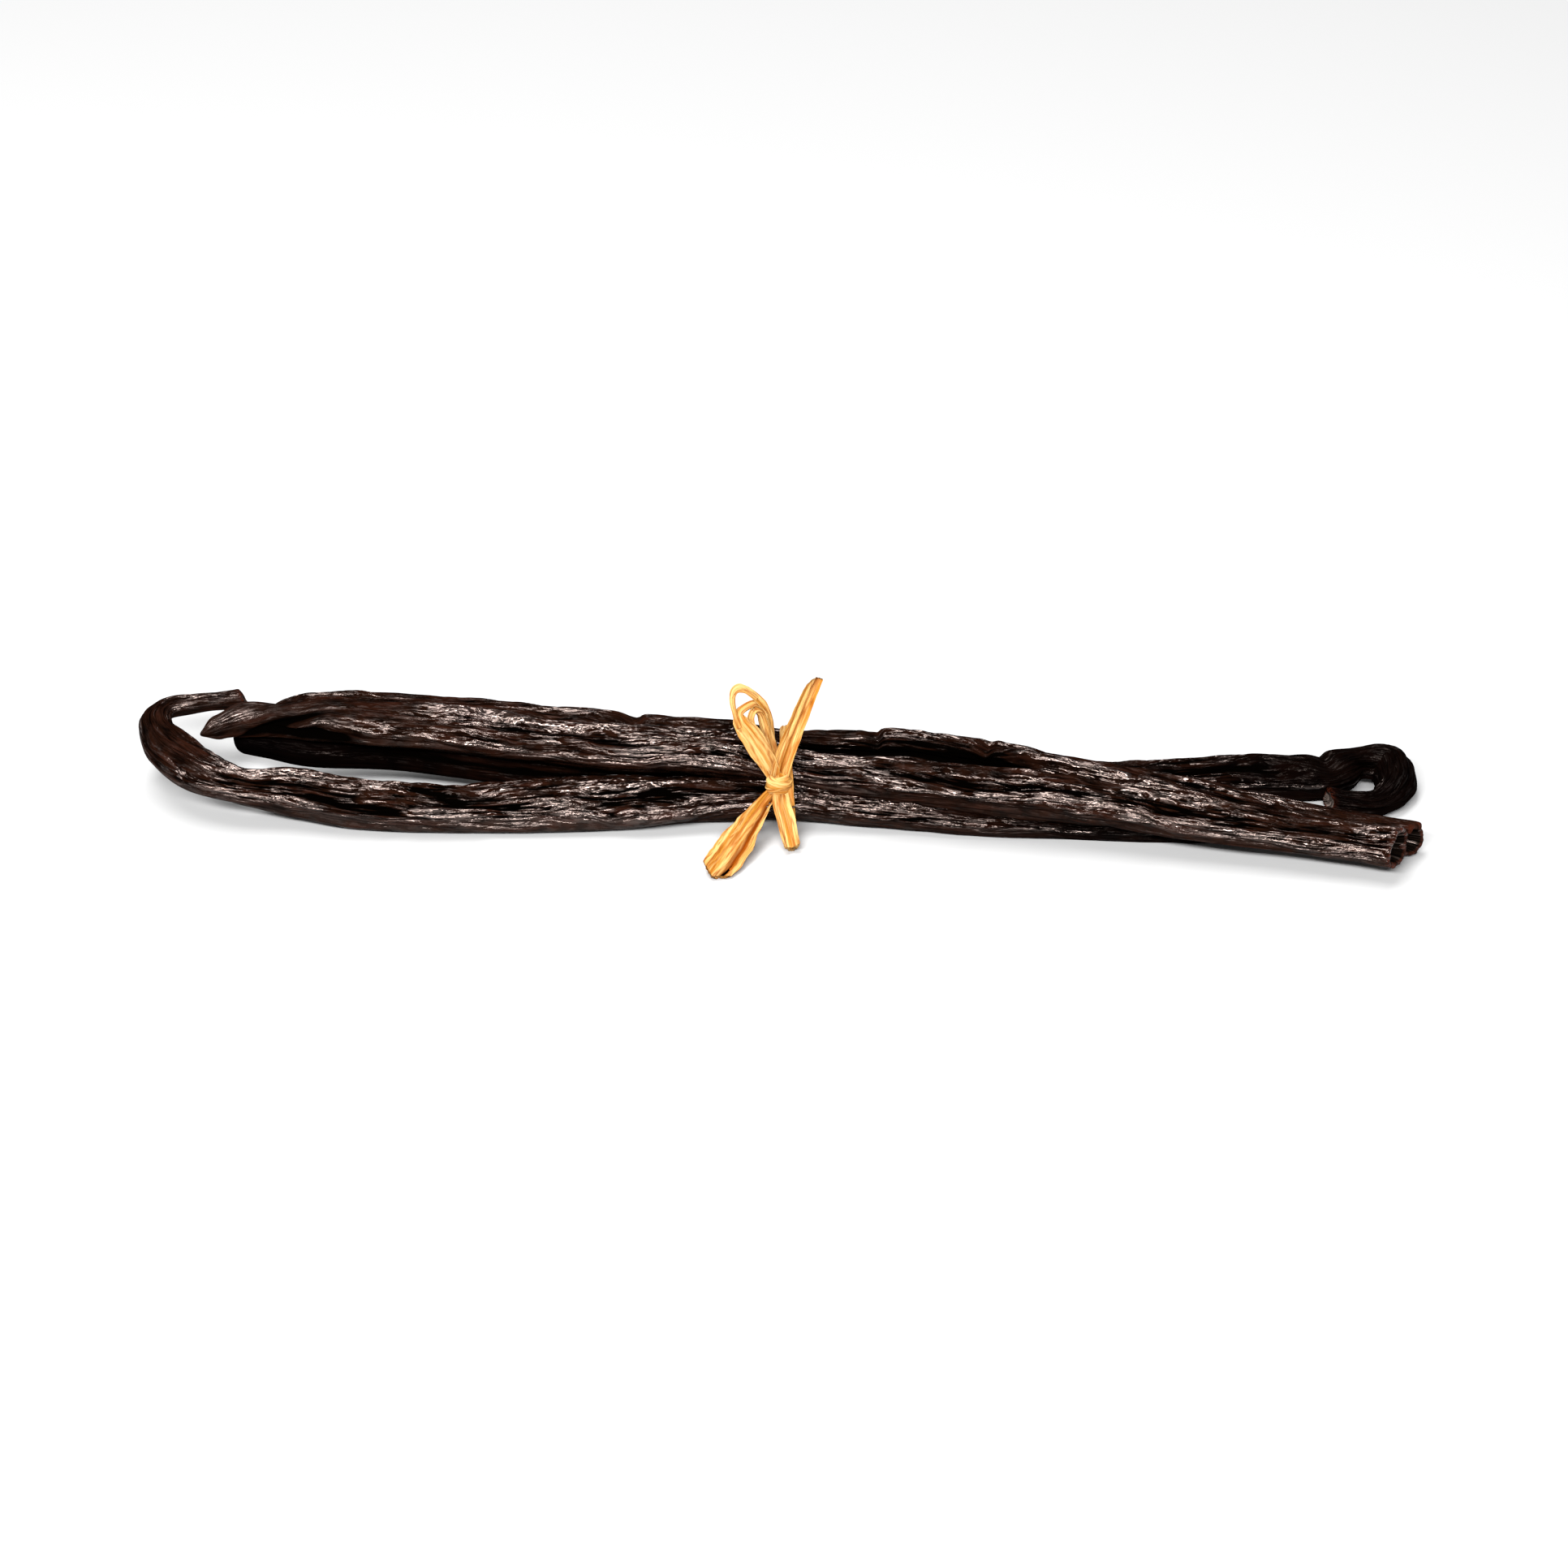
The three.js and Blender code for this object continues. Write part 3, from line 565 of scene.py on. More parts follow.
# They are deep on the upper half, shallow below and by a cut end, and fade out in its mouth.
deep = (skin.carried("wrinkle") * skin.ranged(angle_cos, -0.2, 0.25, 0.15, 1.0)
        * skin.ranged(rim, 0.6, 1.0, 1.0, 0.3))
outside = skin.ranged(skin.carried("inward"), 0.01, 0.4, 1.0, 0.25)
furrows = ((wrinkles - 0.3) + (small - 0.3) * 0.75) * patch * deep * outside * MM
relief = ((rolls - 0.25) * skin.given("Roll depth") * outside
          * skin.ranged(skin.carried("wrinkle"), 0.0, 0.4, 0.1, 1.0) + furrows)
for k in range(LINES):
    turned = (angle - skin.carried(f"line_{k}_angle") + sway * LINE_SWAY).maths(
        "WRAP", -math.pi, math.pi)
    off = turned * radius / skin.given("Line width")
    line = skin.carried(f"line_{k}_height") * (-(off * off)).maths("EXPONENT")
    relief = relief + line
    furrows = furrows + line * 0.4  # so that the painted furrow shade darkens them less

# A fold's line wavers round the pod, so each corner reads the fold a few sections away. A fold
# is deepest on top and doesn't reach the underside.
FOLD_ROUND = 0.9  # how busy its line is round the pod
uneven = skin.noise(skin.vector(angle_cos * FOLD_ROUND, angle_sin * FOLD_ROUND + seed, 0.0),
                    detail=2.0)
shifted = skin.index + (uneven - 0.5) * skin.given("Fold wander")
whole = shifted.maths("FLOOR")
before = skin.carried("fold", index=whole)
nick = (skin.carried("fold", index=whole + 1.0) - before) * (shifted - whole) + before
nick = nick * angle_cos.maths("MAXIMUM", 0.0) ** 1.5

# A cut end is uneven round its lip, flares a little and leans.
LIP_ROUND = 1.3  # how busy the lip is round the pod
lip = skin.noise(skin.vector(angle_cos * LIP_ROUND, angle_sin * LIP_ROUND, seed + 4.0),
                 detail=3.0) - 0.5
flare = rim ** 2 * (lip + 0.2) * skin.given("Rim flare")
aslant = rim * (rim * lip * skin.given("Rim depth")
                - angle_sin * skin.reach * skin.given("Rim slant")
                - angle_cos * skin.reach * skin.given("Rim lean"))
sideways = (skin.carried("width") * 0.5 * swell + relief + flare) * angle_sin
upwards = (skin.carried("thickness") * 0.5 * swell + relief + flare) * angle_cos - nick
size = skin.carried("closing") * skin.reach
spot = skin.vectors("ADD", skin.middle, skin.scaled(skin.offset(sideways, upwards), size))
spot = skin.vectors("ADD", spot, skin.scaled(skin.carried("run", "FLOAT_VECTOR"), aslant))

# What the finish reads is stored while the tube is still straight. Then the skin is pressed
# flat wherever it would lie in a pod that is already laid.
shell = skin.stored(skin.tube, "skin_place", skin.vector(cosine, sine, along), "FLOAT_VECTOR")
for key, value in {
    "furrows": furrows / MM, "inward": skin.carried("inward"), "rim": rim ** 8,
    "oil": skin.carried("oil"), "tone": skin.carried("tone"), "deep": deep,
    "below": skin.ranged(angle_cos, 0.2, -0.2),
}.items():
    shell = skin.stored(shell, "skin_" + key, value)
skin.finished(shell, skin.pressed(spot, POD_PUSH * MM))


class PaintBoard(Board):
    """A material's node tree."""

    def __init__(self, name):
        self.material = bpy.data.materials.new(name)
        self.material.use_nodes = True
        super().__init__(self.material.node_tree)

    def read(self, name, out="Fac"):
        """What a mesh carries under a name."""
        return self.node("ShaderNodeAttribute", {"attribute_name": name}, None, out)

    def mixed(self, factor, first, second):
        return self.node("ShaderNodeMix", {"data_type": "RGBA"},
                         {"Factor": factor, 6: first, 7: second}, 2)

    def drawn_out(self, place, share):
        """The place, with the distances along the piece shortened to the given share."""
        return self.vectors("MULTIPLY", place, (1.0, 1.0, share))

    def feed(self, node_name, wires):
        """Values are led to the sockets of a node that the material came with."""
        for socket, wire in wires.items():
            self.tree.links.new(wire.socket, self.tree.nodes[node_name].inputs[socket])


# The finish of the cured skin: near black, warm brown in patches, reddish in long streaks. Painted
# shade makes it black in its furrows and where a pod lies under another. The flesh in a cut end is grey
# where it is dry and black where moist.
BLACK, BROWN = (0.0024, 0.001, 0.0006, 1), (0.012, 0.004, 0.002, 1)
REDDISH, RIM_RED = (0.024, 0.0072, 0.004, 1), (0.045, 0.009, 0.004, 1)
BLACK_SKIN_AND_SHADE, FURROW_SHADE = (0.0007, 0.0004, 0.0004, 1), (0.0005, 0.0003, 0.0002, 1)
DRY_FLESH = [(0.008, 0.005, 0.004, 1), (0.14, 0.11, 0.095, 1)]  # its dark and its pale specks
MOIST_FLESH = [(0.0012, 0.0008, 0.0007, 1), (0.01, 0.006, 0.004, 1)]
OIL_TINT = (1, 0.78, 0.7, 1)

paint = PaintBoard("cured_pod_skin")
paint.tree.nodes.remove(paint.tree.nodes["Principled BSDF"])
place, oiliness = paint.read("skin_place", "Vector"), paint.read("skin_oil")
below, wrinkled = paint.read("skin_below"), paint.read("skin_deep")
mottle = paint.noise(place, scale=0.35, detail=3.0, roughness=0.55)
reddish = paint.noise(paint.drawn_out(place, 0.12), scale=1.1, detail=3.0, roughness=0.6)
colour = paint.mixed(paint.ranged(mottle, 0.35, 0.65), BLACK, BROWN)
colour = paint.mixed(paint.ranged(reddish, 0.5, 0.72) * 0.7, colour, REDDISH)
# Painted shade: where a pod lies under another, its colour goes towards near black.
colour = paint.mixed(paint.read("skin_tone"), BLACK_SKIN_AND_SHADE, colour)
# Painted shade: the skin is coloured near black in its furrows, where shade falls.
raised = paint.ranged(paint.read("skin_furrows"), -0.16, 0.0)
colour = paint.mixed(raised, FURROW_SHADE, colour)
cut = paint.ranged(paint.read("skin_inward"), 0.02, 0.25)
speckle = paint.noise(place, scale=1.9, detail=3.0, roughness=0.7)
moist = paint.ranged(oiliness, 0.1, 0.4)
flesh = paint.mixed(paint.ranged(speckle, 0.42, 0.62),
                    *(paint.mixed(moist, dry, wet) for dry, wet in zip(DRY_FLESH, MOIST_FLESH)))
rim_colour = paint.mixed(paint.ranged(speckle, 0.4, 0.6), colour, RIM_RED)
colour = paint.mixed(cut, paint.mixed(paint.read("skin_rim"), colour, rim_colour), flesh)

# The oil lies in long patches on the raised skin. It leaves the furrows and fine cracks dull,
# and lies thin and even on smooth skin and below. All that runs along the pod bends a little.
bend = paint.noise(paint.drawn_out(place, 0.25), scale=0.5, detail=1.0).other("Color")
bent = paint.vectors("ADD", place, paint.scaled(bend, 1.8))
oil = (paint.noise(paint.drawn_out(bent, 0.14), scale=0.4, detail=3.0, roughness=0.58)
       + (oiliness - 0.5) * 0.3)
oil = oil + paint.ranged(paint.read("skin_furrows"), 0.04, 0.34, -0.03, 0.12)
smooth = paint.ranged(wrinkled, 0.05, 0.25, 1.0, 0.0)
cracks = paint.noise(paint.drawn_out(bent, 0.15), scale=2.9, detail=2.0, roughness=0.65)
strands = abs(paint.noise(paint.drawn_out(bent, 0.12), scale=1.5) - 0.5)
even = (below * moist * 0.28).maths("MAXIMUM", smooth * moist * 0.3)
unbroken = paint.ranged(cracks, 0.46, 0.52).maths("MAXIMUM", even * 1.8)
unbroken = unbroken.maths("MAXIMUM", paint.ranged(oil, 0.62, 0.72, 0.0, 0.8))
film = paint.ranged(oil, 0.455, 0.57, 0.05, 1.0).maths("MAXIMUM", even) * raised * unbroken
film = (film * paint.ranged(smooth, 0.0, 1.0, 1.0, 0.5)
        * paint.ranged(oiliness, 0.0, 0.15, 0.15, 1.0) * paint.ranged(below, 0.0, 1.0, 1.0, 0.5))
film = film + (paint.ranged(speckle, 0.54, 0.62, 0.0, 0.9) * moist - film) * cut
bump = paint.node("ShaderNodeBump", None, {
    "Strength": 1.0, "Distance": 0.9 * MM,
    "Height": (strands + cracks * 0.35) * paint.ranged(wrinkled, 0.0, 0.5, 0.15, 1.0)})
dry = paint.node("ShaderNodeBsdfPrincipled", None, {
    "Base Color": colour, "Roughness": 0.8, "Specular IOR Level": 0.0, "Normal": bump})
oiled = paint.node("ShaderNodeBsdfPrincipled", None, {
    "Base Color": colour,
    "Roughness": paint.ranged(oil, 0.36, 0.62, 0.26, 0.14) + even * 0.3,
    "Specular IOR Level": 0.95, "IOR": 1.62, "Specular Tint": OIL_TINT, "Normal": bump})
paint.feed("Material Output", {
    "Surface": paint.node("ShaderNodeMixShader", None, {0: film, 1: dry, 2: oiled})})
pod_finish = paint.material

laid_pods = bpy.data.collections.new("laid_pods")
scene.collection.children.link(laid_pods)
for name, pod in PODS.items():
    creases = {}
    for n, depth, phase, turns in pod["creases"]:
        creases.update({f"Crease depth {n}": float(depth), f"Crease phase {n}": float(phase),
                        f"Crease turns {n}": float(turns)})
    piece = grown(pod_rail(name, pod), skin, "skin_of_" + name, {
        "Sides": POD_SIDES, "Mean radius": MEAN_RADIUS, "Seed": pod["seed"],
        "Roll depth": 1.1 * MM, "Roll width": 2.1, "Roll length": 30.0,
        "Wrinkle width": 0.7, "Wrinkle length": 11.0, "Wander": 0.9, "Line width": 0.9,
        "Rim slant": pod["slant"][0] * MM, "Rim lean": pod["slant"][1] * MM,
        "Rim depth": 0.9 * MM, "Rim flare": 0.9 * MM, "Fold wander": 9.0,
        "Gap": 0.08 * MM, "Neighbours": laid_pods, "Material": pod_finish, **creases})
    laid_pods.objects.link(piece)
    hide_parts(name)
    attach(piece, "root")

# ---- The raffia bow and tails -----------------------------------------------------------------
# One strip of dried raffia palm leaf is tied in front of the pods with half a bow. The leaf is
# thin, creased along its fibres, split into strands in the bow and torn off at its three tails.

STRIP_RINGS = 170  # sections along a strip
STRIP_SIDES = 40  # corners round a strip
TAIL_SIDES = 88  # corners round a tail, which is wider and ends in fibres
LEAF_THICK = 0.22  # mm
PLEAT = 0.4  # mm, depth of the fine pleats
CREASES = 3  # sharp folds in a strip, at most
TORN_REACH = 2.5  # mm over which a torn end is uneven
FAR = 99.0  # mm, for an end that isn't torn
LEAF_PUSH = 1.5  # mm, the most that the pods push a strip away

# path: [x, y, z, width, hollow], in the same frame as the pods. creases: sharp folds along the
# strip, each [place across it from -1 to 1, depth, half width as a share of the strip's]. ends:
# whether it is torn off at its start and at its end. point: how far a torn end reaches out in
# its middle, and at one edge beyond the other, mm. pleat: a depth other than PLEAT.
STRIPS = {
    "raffia_upper_tail": {
        "path": [
            [-0.3, -6, 8, 2.7, 0.3], [0.3, -5.7, 10.8, 2.8, 0.4], [1.5, -4.5, 14, 2.7, 0.4],
            [2.8, -3, 16.9, 2.5, 0.5], [4, -2, 19.7, 2.3, 0.5], [5.1, -1, 22, 2.0, 0.6],
        ],
        "creases": [[0.12, 0.8, 0.12], [-0.5, 0.25, 0.08], [0.7, 0.25, 0.08]],
        "ends": [False, True], "seed": 1.0, "point": [0.8, 0.8], "pleat": 0.25,
    },
    "raffia_lower_right_tail": {
        "path": [
            [-0.1, -6.3, 6.5, 2.1, -0.2], [0.2, -8.5, 5.2, 2.7, -0.4], [0.8, -10, 3.4, 2.7, -0.5],
            [1.3, -11.5, 1.8, 2.6, -0.7], [1.7, -13.3, 0.9, 2.4, -1.5],
        ],
        "creases": [[0.15, -0.5, 0.12], [-0.45, -0.35, 0.08], [0.6, -0.35, 0.08]],
        "ends": [False, True], "seed": 2.0,
    },
    "raffia_lower_left_tail": {
        "path": [
            [-0.8, -6.1, 6.2, 2, -0.4], [-2.2, -7.4, 5.2, 2.2, -0.6],
            [-3.4, -9.2, 4.3, 2.9, -0.8], [-4.8, -11.6, 3.3, 3.9, -0.8],
            [-6.5, -14.6, 2.2, 5, -0.7], [-8.2, -17.9, 1.3, 5.2, -0.6],
            [-9.5, -20.4, 0.9, 4.7, -0.5],
        ],
        "creases": [[0.45, -1.7, 0.13], [-0.25, -0.12, 0.08], [-0.72, 0.15, 0.08]],
        "ends": [False, True], "seed": 3.0, "point": [1.5, 0.0], "pleat": 0.16,
    },
    "raffia_bow_front": {
        "path": [
            [-0.8, -5.4, 8.1, 2.1, 0.3], [-2, -5.6, 11, 2.9, 0.4], [-3.2, -5.6, 13.3, 3.5, 0.4],
            [-4.6, -5.4, 15.6, 3.4, 0.3], [-5.7, -5, 17.1, 2.4, 0.3], [-6, -4.4, 18.3, 1.4, 0.3],
            [-5, -3.7, 19, 1.2, 0.2], [-3.5, -3, 19.2, 1.2, 0.2], [-2.2, -2.6, 18.1, 1.3, 0.2],
            [-1.7, -2.6, 16.1, 1.6, 0.3], [-1.4, -3, 14, 1.8, 0.3], [-1, -3.9, 11.7, 1.8, 0.3],
            [-0.5, -4.9, 8.7, 1.8, 0.3],
        ],
        "creases": [[0.6, 0.5, 0.12], [-0.1, 0.15, 0.08], [-0.6, 0.2, 0.08]],
        "ends": [False, False], "seed": 4.0, "pleat": 0.2,
    },
    "raffia_bow_inner": {
        "path": [
            [-0.9, -5.2, 8.3, 1.3, 0.2], [-1.9, -5.2, 11.8, 1.6, 0.3], [-3.1, -5, 14.2, 1.7, 0.3],
            [-4.2, -4.6, 16.2, 1.3, 0.3], [-4.3, -4.2, 17.6, 1, 0.2], [-3.7, -3.6, 18.5, 1, 0.2],
            [-2.7, -3.1, 18.2, 1, 0.2], [-2, -2.9, 16.8, 1.1, 0.2], [-1.6, -3.2, 14.6, 1.2, 0.2],
            [-1, -4, 12, 1.2, 0.2], [-0.6, -4.7, 9.6, 1.2, 0.2],
        ],
        "creases": [[0.1, 0.4, 0.12], [-0.5, 0.25, 0.1]],
        "ends": [False, False], "seed": 5.0,
    },
    "raffia_bow_outer": {
        "path": [
            [-6, -5.2, 16.2, 0.9, 0.1], [-6.7, -4.5, 18.5, 0.7, 0.1], [-7, -4, 20.5, 0.9, 0.1],
            [-6.7, -3.6, 21.6, 1.2, 0.2], [-6.1, -3.4, 22, 1.2, 0.2], [-5.3, -3.3, 21.8, 1, 0.2],
            [-4.5, -3.2, 21.2, 1.1, 0.2], [-3.5, -3.1, 20.2, 1.2, 0.3], [-2.6, -3, 19.1, 1.2, 0.3],
            [-1.9, -2.8, 17.6, 1, 0.2],
            [-1.4, -2.7, 16.1, 0.8, 0.1], [-1.2, -3.1, 13.8, 0.7, 0.1], [-0.9, -4, 11.4, 0.7, 0.1],
        ],
        "creases": [[0.1, 0.3, 0.12]],
        "ends": [False, False], "seed": 6.0,
    },
    "raffia_bow_split": {
        "path": [
            [-7, -4, 20.5, 0.5, 0], [-6.3, -3.7, 21.5, 0.5, 0], [-5.3, -3.5, 21.5, 0.6, 0.1],
            [-4.3, -3.3, 20.9, 0.7, 0.1], [-3.4, -3.1, 20, 0.7, 0.1],
        ],
        "creases": [],
        "ends": [False, False], "seed": 13.0,
    },
    "raffia_bow_rear": {
        "path": [
            [-4, -3.3, 18.6, 0.9, 0.1], [-3, -3, 17.6, 1.2, 0.2], [-2.4, -3, 15.8, 1.6, 0.3],
            [-1.9, -3.4, 13.8, 1.9, 0.4], [-1.2, -4.2, 11.6, 1.9, 0.4], [-0.6, -4.9, 9.2, 1.6, 0.3],
        ],
        "creases": [[-0.2, 0.4, 0.1], [0.5, 0.3, 0.1]],
        "ends": [False, False], "seed": 7.0,
    },
}


def strip_rail(name, path, creases=(), ends=(False, False), across=(1, 0, 0), point=(0, 0)):
    """The sections of a strip of leaf: its direction, and the way that its face looks."""
    steps = 24
    line = path_through([station[:3] for station in path], steps)
    reach = reach_along(line)
    along = np.linspace(0, reach[-1], STRIP_RINGS)
    middle = points_on(line, reach, along)
    place = np.interp(along, reach, np.arange(len(line)) / steps)
    run = unit(np.gradient(middle, axis=0))
    stations = [[k, *station] for k, station in enumerate(path)]
    sides = []
    side = np.array(across, float)
    for direction in run:
        side = unit(side - direction * (side @ direction))
        sides.append(side)
    side = np.array(sides)
    from_end = [away if torn else np.full(STRIP_RINGS, FAR)
                for away, torn in zip([along, reach[-1] - along], ends)]
    frayed = np.clip(1 - np.min(from_end, axis=0) / TORN_REACH, 0, 1)
    outwards = np.where(from_end[0] < from_end[1], -1.0, 1.0)[:, None]
    even = {"point": point[0] * MM, "slope": point[1] * MM}
    for k in range(CREASES):
        where, depth, half = creases[k] if k < len(creases) else (0, 0, 1)
        even.update({f"crease_{k}_place": where, f"crease_{k}_depth": depth * MM,
                     f"crease_{k}_half": half})
    return rail_object(
        name + "_rail", (middle + KNOT_TO_ORIGIN) * MM, along=along, run=run * outwards,
        side=side, top=np.cross(side, run), frayed=frayed,
        width=eased(stations, 4, place) * MM, hollow=eased(stations, 5, place) * MM,
        **{key: np.full(STRIP_RINGS, value) for key, value in even.items()})


# The tree that grows a strip: the tube is flattened to a leaf, hollowed across, pleated and
# creased, and its torn ends are drawn out into uneven fibres.
leaf = TubeBoard("Raffia strip", {
    "Sides": "Int", "Thickness": "Float", "Pleat depth": "Float", "Pleat width": "Float",
    "Fray": "Float", "Seed": "Float", "Gap": "Float", "Neighbours": "Collection",
    "Material": "Material",
})
seed, across = leaf.given("Seed"), leaf.across
along, width = leaf.carried("along"), leaf.carried("width")
across_mm = across * width / (2 * MM)
face = (abs(leaf.away) ** 0.6) * leaf.away.maths("SIGN")  # 1 on the upper face, -1 below
pleats = abs(leaf.noise(leaf.vector(across_mm / leaf.given("Pleat width"), seed * 3.7,
                                    along / 9.0), detail=1.0) - 0.5) * 2.0
creased = 0.0
for k in range(CREASES):
    off = (across - leaf.carried(f"crease_{k}_place")) / leaf.carried(f"crease_{k}_half")
    creased = leaf.carried(f"crease_{k}_depth") * (-abs(off)).maths("EXPONENT") + creased
rise = (leaf.carried("hollow") * (across * across - 0.5)
        + (pleats - 0.3) * leaf.given("Pleat depth") - creased)
upwards = rise * leaf.reach + face * leaf.given("Thickness") * 0.5
ripple = leaf.noise(leaf.vector(along / 3.0, across.maths("SIGN") + seed, 0.0), detail=2.0) - 0.5
sideways = across * width * (ripple * 0.15 + 0.5)
tatter = leaf.noise(leaf.vector(across_mm * 1.4, seed * 5.1, 0.0), detail=3.0,
                    roughness=0.7) - 0.5
outwards = leaf.carried("frayed") * (
    tatter * leaf.given("Fray") + across * leaf.carried("slope")
    + (0.5 - abs(across)) * leaf.carried("point"))
spot = leaf.vectors("ADD", leaf.middle, leaf.offset(sideways, upwards))
spot = leaf.vectors("ADD", spot, leaf.scaled(leaf.carried("run", "FLOAT_VECTOR"), outwards))
shell = leaf.stored(leaf.tube, "leaf_place", leaf.vector(across_mm, face * 0.3 + seed, along),
                    "FLOAT_VECTOR")
shell = leaf.stored(shell, "leaf_crease", abs(creased) / MM)
shell = leaf.stored(shell, "leaf_pleat", pleats)
leaf.finished(shell, leaf.pressed(spot, LEAF_PUSH * MM))

# The finish of dried raffia: straw yellow in streaks, darker and more orange between its fibres, with
# painted shade, dark orange, in the pleats and creases.
STRAW_DARK, STRAW_PALE = (0.42, 0.172, 0.02, 1), (0.675, 0.43, 0.16, 1)
FIBRE_GAP = (0.34, 0.1, 0.005, 1)
CREASE_SHADE, PLEAT_SHADE = (0.3, 0.07, 0.003, 1), (0.28, 0.07, 0.003, 1)

paint = PaintBoard("dried_raffia")
place = paint.drawn_out(paint.read("leaf_place", "Vector"), 0.06)
fibres = paint.noise(place, scale=7.0, detail=3.0, roughness=0.6)
streaks = paint.noise(place, scale=1.6, detail=2.0)
colour = paint.mixed(paint.ranged(streaks, 0.35, 0.65), STRAW_DARK, STRAW_PALE)
colour = paint.mixed(paint.ranged(fibres, 0.46, 0.3) * 0.8, colour, FIBRE_GAP)
# Painted shade: dark orange in the creases and in the valleys of the pleats.
colour = paint.mixed(paint.ranged(paint.read("leaf_crease"), 0.3, 0.95), colour, CREASE_SHADE)
colour = paint.mixed(paint.ranged(paint.read("leaf_pleat"), 0.14, 0.02) * 0.75, colour,
                     PLEAT_SHADE)
bump = paint.node("ShaderNodeBump", None, {
    "Strength": 1.0, "Distance": 0.16 * MM, "Height": fibres + streaks * 0.6})
paint.feed("Principled BSDF", {
    "Base Color": colour, "Roughness": paint.ranged(streaks, 0.3, 0.7, 0.42, 0.6),
    "Normal": bump})
paint.tree.nodes["Principled BSDF"].inputs["Specular IOR Level"].default_value = 0.1
straw = paint.material


def laid_strip(name, rail, seed, thick=LEAF_THICK, pleat=PLEAT):
    """A piece of the raffia, grown on its rail and kept clear of the pods."""
    piece = grown(rail, leaf, name, {
        "Sides": TAIL_SIDES if name.endswith("tail") else STRIP_SIDES, "Seed": seed,
        "Thickness": thick * MM, "Pleat depth": pleat * MM, "Pleat width": 0.55,
        "Fray": 1.6 * MM, "Gap": 0.04 * MM, "Neighbours": laid_pods, "Material": straw})
    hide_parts("raffia_tie")
    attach(piece, "root")


for name, strip in STRIPS.items():
    seed, pleat = strip.pop("seed"), strip.pop("pleat", PLEAT)
    laid_strip(name, strip_rail(name, **strip), seed, pleat=pleat)

# ---- The raffia band --------------------------------------------------------------------------
# The band is the same strip where it goes round the pods, drawn tight over them and leaning a
# little. It touches only where the pods stand out, so it follows the outline round them all.
BAND = {"x": 1.0, "lean": 4, "lean_about": 7.2, "width": 1.8, "gap": 0.3, "corners": 72,
        "step": 0.3, "reach": 1.6}  # mm, and lean in degrees
corners = np.concatenate([
    np.array([v.co for v in piece.data.vertices]) for piece in laid_pods.objects]) / MM
corners = corners - KNOT_TO_ORIGIN
passed = corners[np.abs(corners[:, 0] - BAND["x"]) < BAND["reach"]][:, 1:]
outline = []
for angle in np.linspace(-math.pi, math.pi, BAND["corners"]):
    out = np.array([math.cos(angle), math.sin(angle)])
    furthest = passed[np.argmax(passed @ out)] + out * BAND["gap"]
    if not outline or np.linalg.norm(furthest - outline[-1]) > BAND["step"]:
        outline.append(furthest)
lean = math.tan(math.radians(BAND["lean"]))
band_path = [[BAND["x"] - lean * (z - BAND["lean_about"]), y, z, BAND["width"], 0.0]
             for y, z in outline]
laid_strip("raffia_band", strip_rail("raffia_band", band_path, [[0.2, 0.12, 0.15]]), 8.0)

# ---- The raffia knot --------------------------------------------------------------------------
# The strip is wound round itself in front of the pods: a turn below, a turn above and one across
# them, drawn tight over the ends that they hold. What they hold fills the knot as its core.
KNOT = {"at": [-0.2, -5.9, 7.4], "half": [1.6, 1.2], "corners": 14, "back": 0.3}
TURNS = [  # [height, tilt in degrees, size, width, hollow]
    [0, 6, 0.98, 3.0, -0.6], [0.25, -14, 1.04, 1.9, -0.4], [-0.3, 26, 1.1, 1.3, -0.3],
]
for k, (up, tilt, size, width, hollow) in enumerate(TURNS):
    turn_path = []
    for angle in np.linspace(0, 2 * math.pi, KNOT["corners"]):
        x = size * KNOT["half"][0] * math.sin(angle)
        y = size * KNOT["half"][1] * math.cos(angle)
        z = up + x * math.tan(math.radians(tilt))
        turn_path.append([x + KNOT["at"][0], y + KNOT["at"][1] - KNOT["back"] * up,
                          z + KNOT["at"][2], width, hollow])
    name = f"raffia_knot_turn_{k + 1}"
    laid_strip(name, strip_rail(name, turn_path, [[-0.3, 0.15, 0.15], [0.4, 0.15, 0.12]],
                                across=(0, 0, 1)), 9.0 + k)
CORE_PATH = [[-0.6, -5.9, 5.7, 1.2, 0], [-0.2, -5.9, 6.5, 2.6, 0], [0.1, -5.8, 7.3, 2.9, 0],
             [0.2, -5.6, 8.1, 2.4, 0], [0.3, -5.5, 8.9, 1.4, 0]]
laid_strip("raffia_knot_core", strip_rail("raffia_knot_core", CORE_PATH), 12.0, thick=2.0)

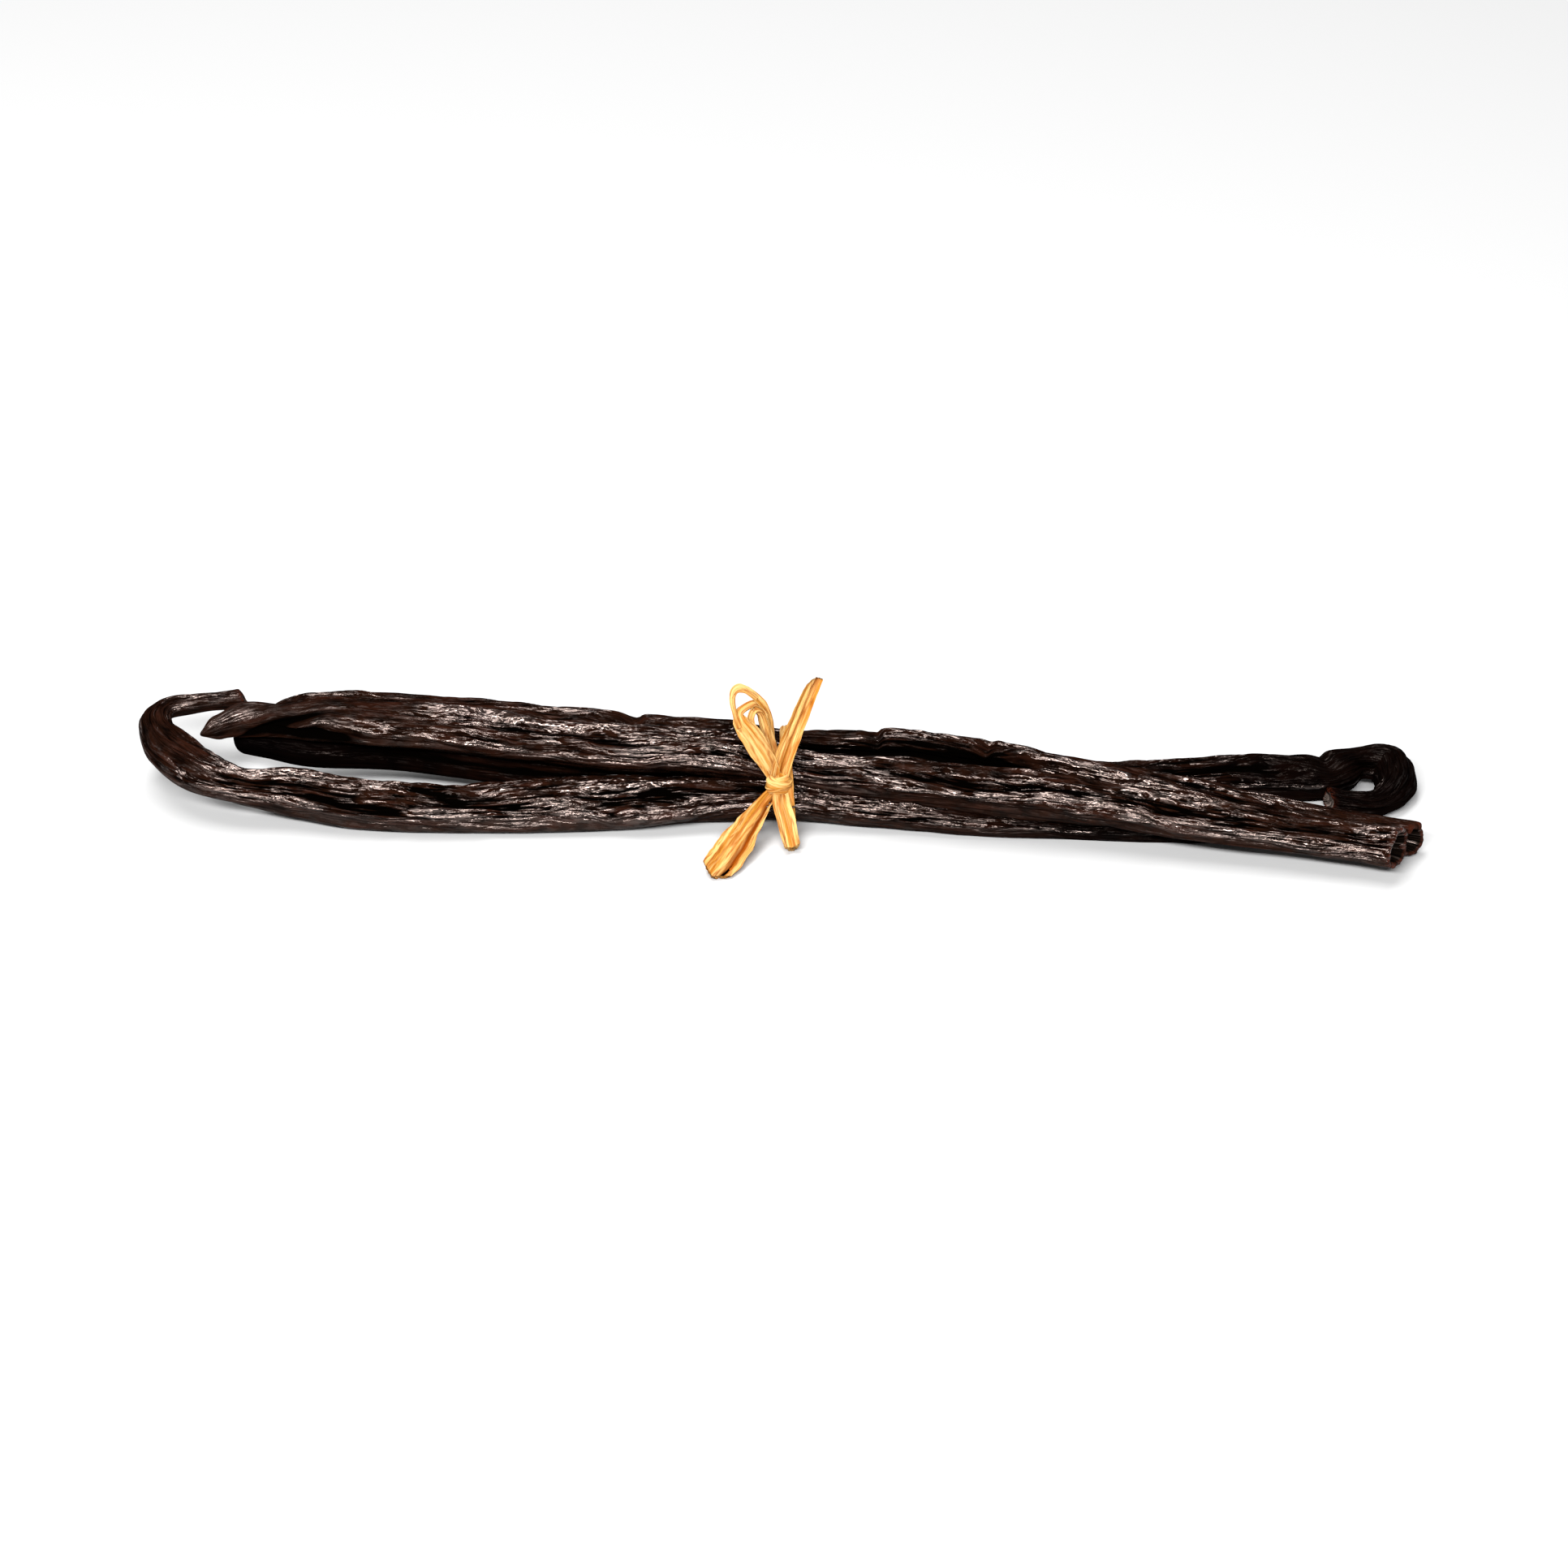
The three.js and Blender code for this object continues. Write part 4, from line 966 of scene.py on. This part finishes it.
# ---- Table, light and camera ------------------------------------------------------------------
# The bundle lies loose on a plain white table top, wide enough to fill the view. A broad light
# box hangs over it, and a low, wide one stands in front, which makes the glints in the oil.
TABLE_HALF = 3.0  # m
table = bpy.data.meshes.new("table")
table.from_pydata([(x * TABLE_HALF, y * TABLE_HALF, 0) for x, y in (
    (-1, -1), (1, -1), (1, 1), (-1, 1))], [], [(0, 1, 2, 3)])
table_top = bpy.data.objects.new("table_top", table)
scene.collection.objects.link(table_top)
table_finish = bpy.data.materials.new("white_table")
table_finish.use_nodes = True
for socket, value in {
    "Base Color": (0.49, 0.49, 0.49, 1), "Roughness": 0.7, "Specular IOR Level": 0.0,
}.items():
    table_finish.node_tree.nodes["Principled BSDF"].inputs[socket].default_value = value
table.materials.append(table_finish)


def light_box(name, place, wide, deep, watts):
    """A studio light box, as a bright rectangle that faces the bundle."""
    lamp = bpy.data.lights.new(name, "AREA")
    lamp.shape = "RECTANGLE"
    lamp.size = wide
    lamp.size_y = deep
    lamp.energy = watts
    holder = bpy.data.objects.new(name, lamp)
    holder.location = place
    holder.rotation_euler = (-Vector(place)).to_track_quat("-Z", "Y").to_euler()
    scene.collection.objects.link(holder)


light_box("overhead", place=(-0.2, 0.15, 1.2), wide=1.1, deep=0.5, watts=17)
light_box("front", place=(-0.2, -1.0, 0.85), wide=1.2, deep=0.17, watts=38)
world = bpy.data.worlds.new("studio")
world.use_nodes = True
world.node_tree.nodes["Background"].inputs["Color"].default_value = (1, 1, 1, 1)
world.node_tree.nodes["Background"].inputs["Strength"].default_value = 0.25
scene.world = world
scene.view_settings.view_transform = "Standard"

AIM = Vector((1.2, 2.7, 3.9)) * MM  # what the camera looks at
ELEVATION = math.radians(30)
DISTANCE = 0.644  # m
camera = bpy.data.cameras.new("camera")
camera.lens = 100
camera.sensor_width = 36
viewer = bpy.data.objects.new("camera", camera)
viewer.location = AIM + DISTANCE * Vector((0, -math.cos(ELEVATION), math.sin(ELEVATION)))
viewer.rotation_euler = (math.pi / 2 - ELEVATION, 0, 0)
scene.collection.objects.link(viewer)
scene.camera = viewer
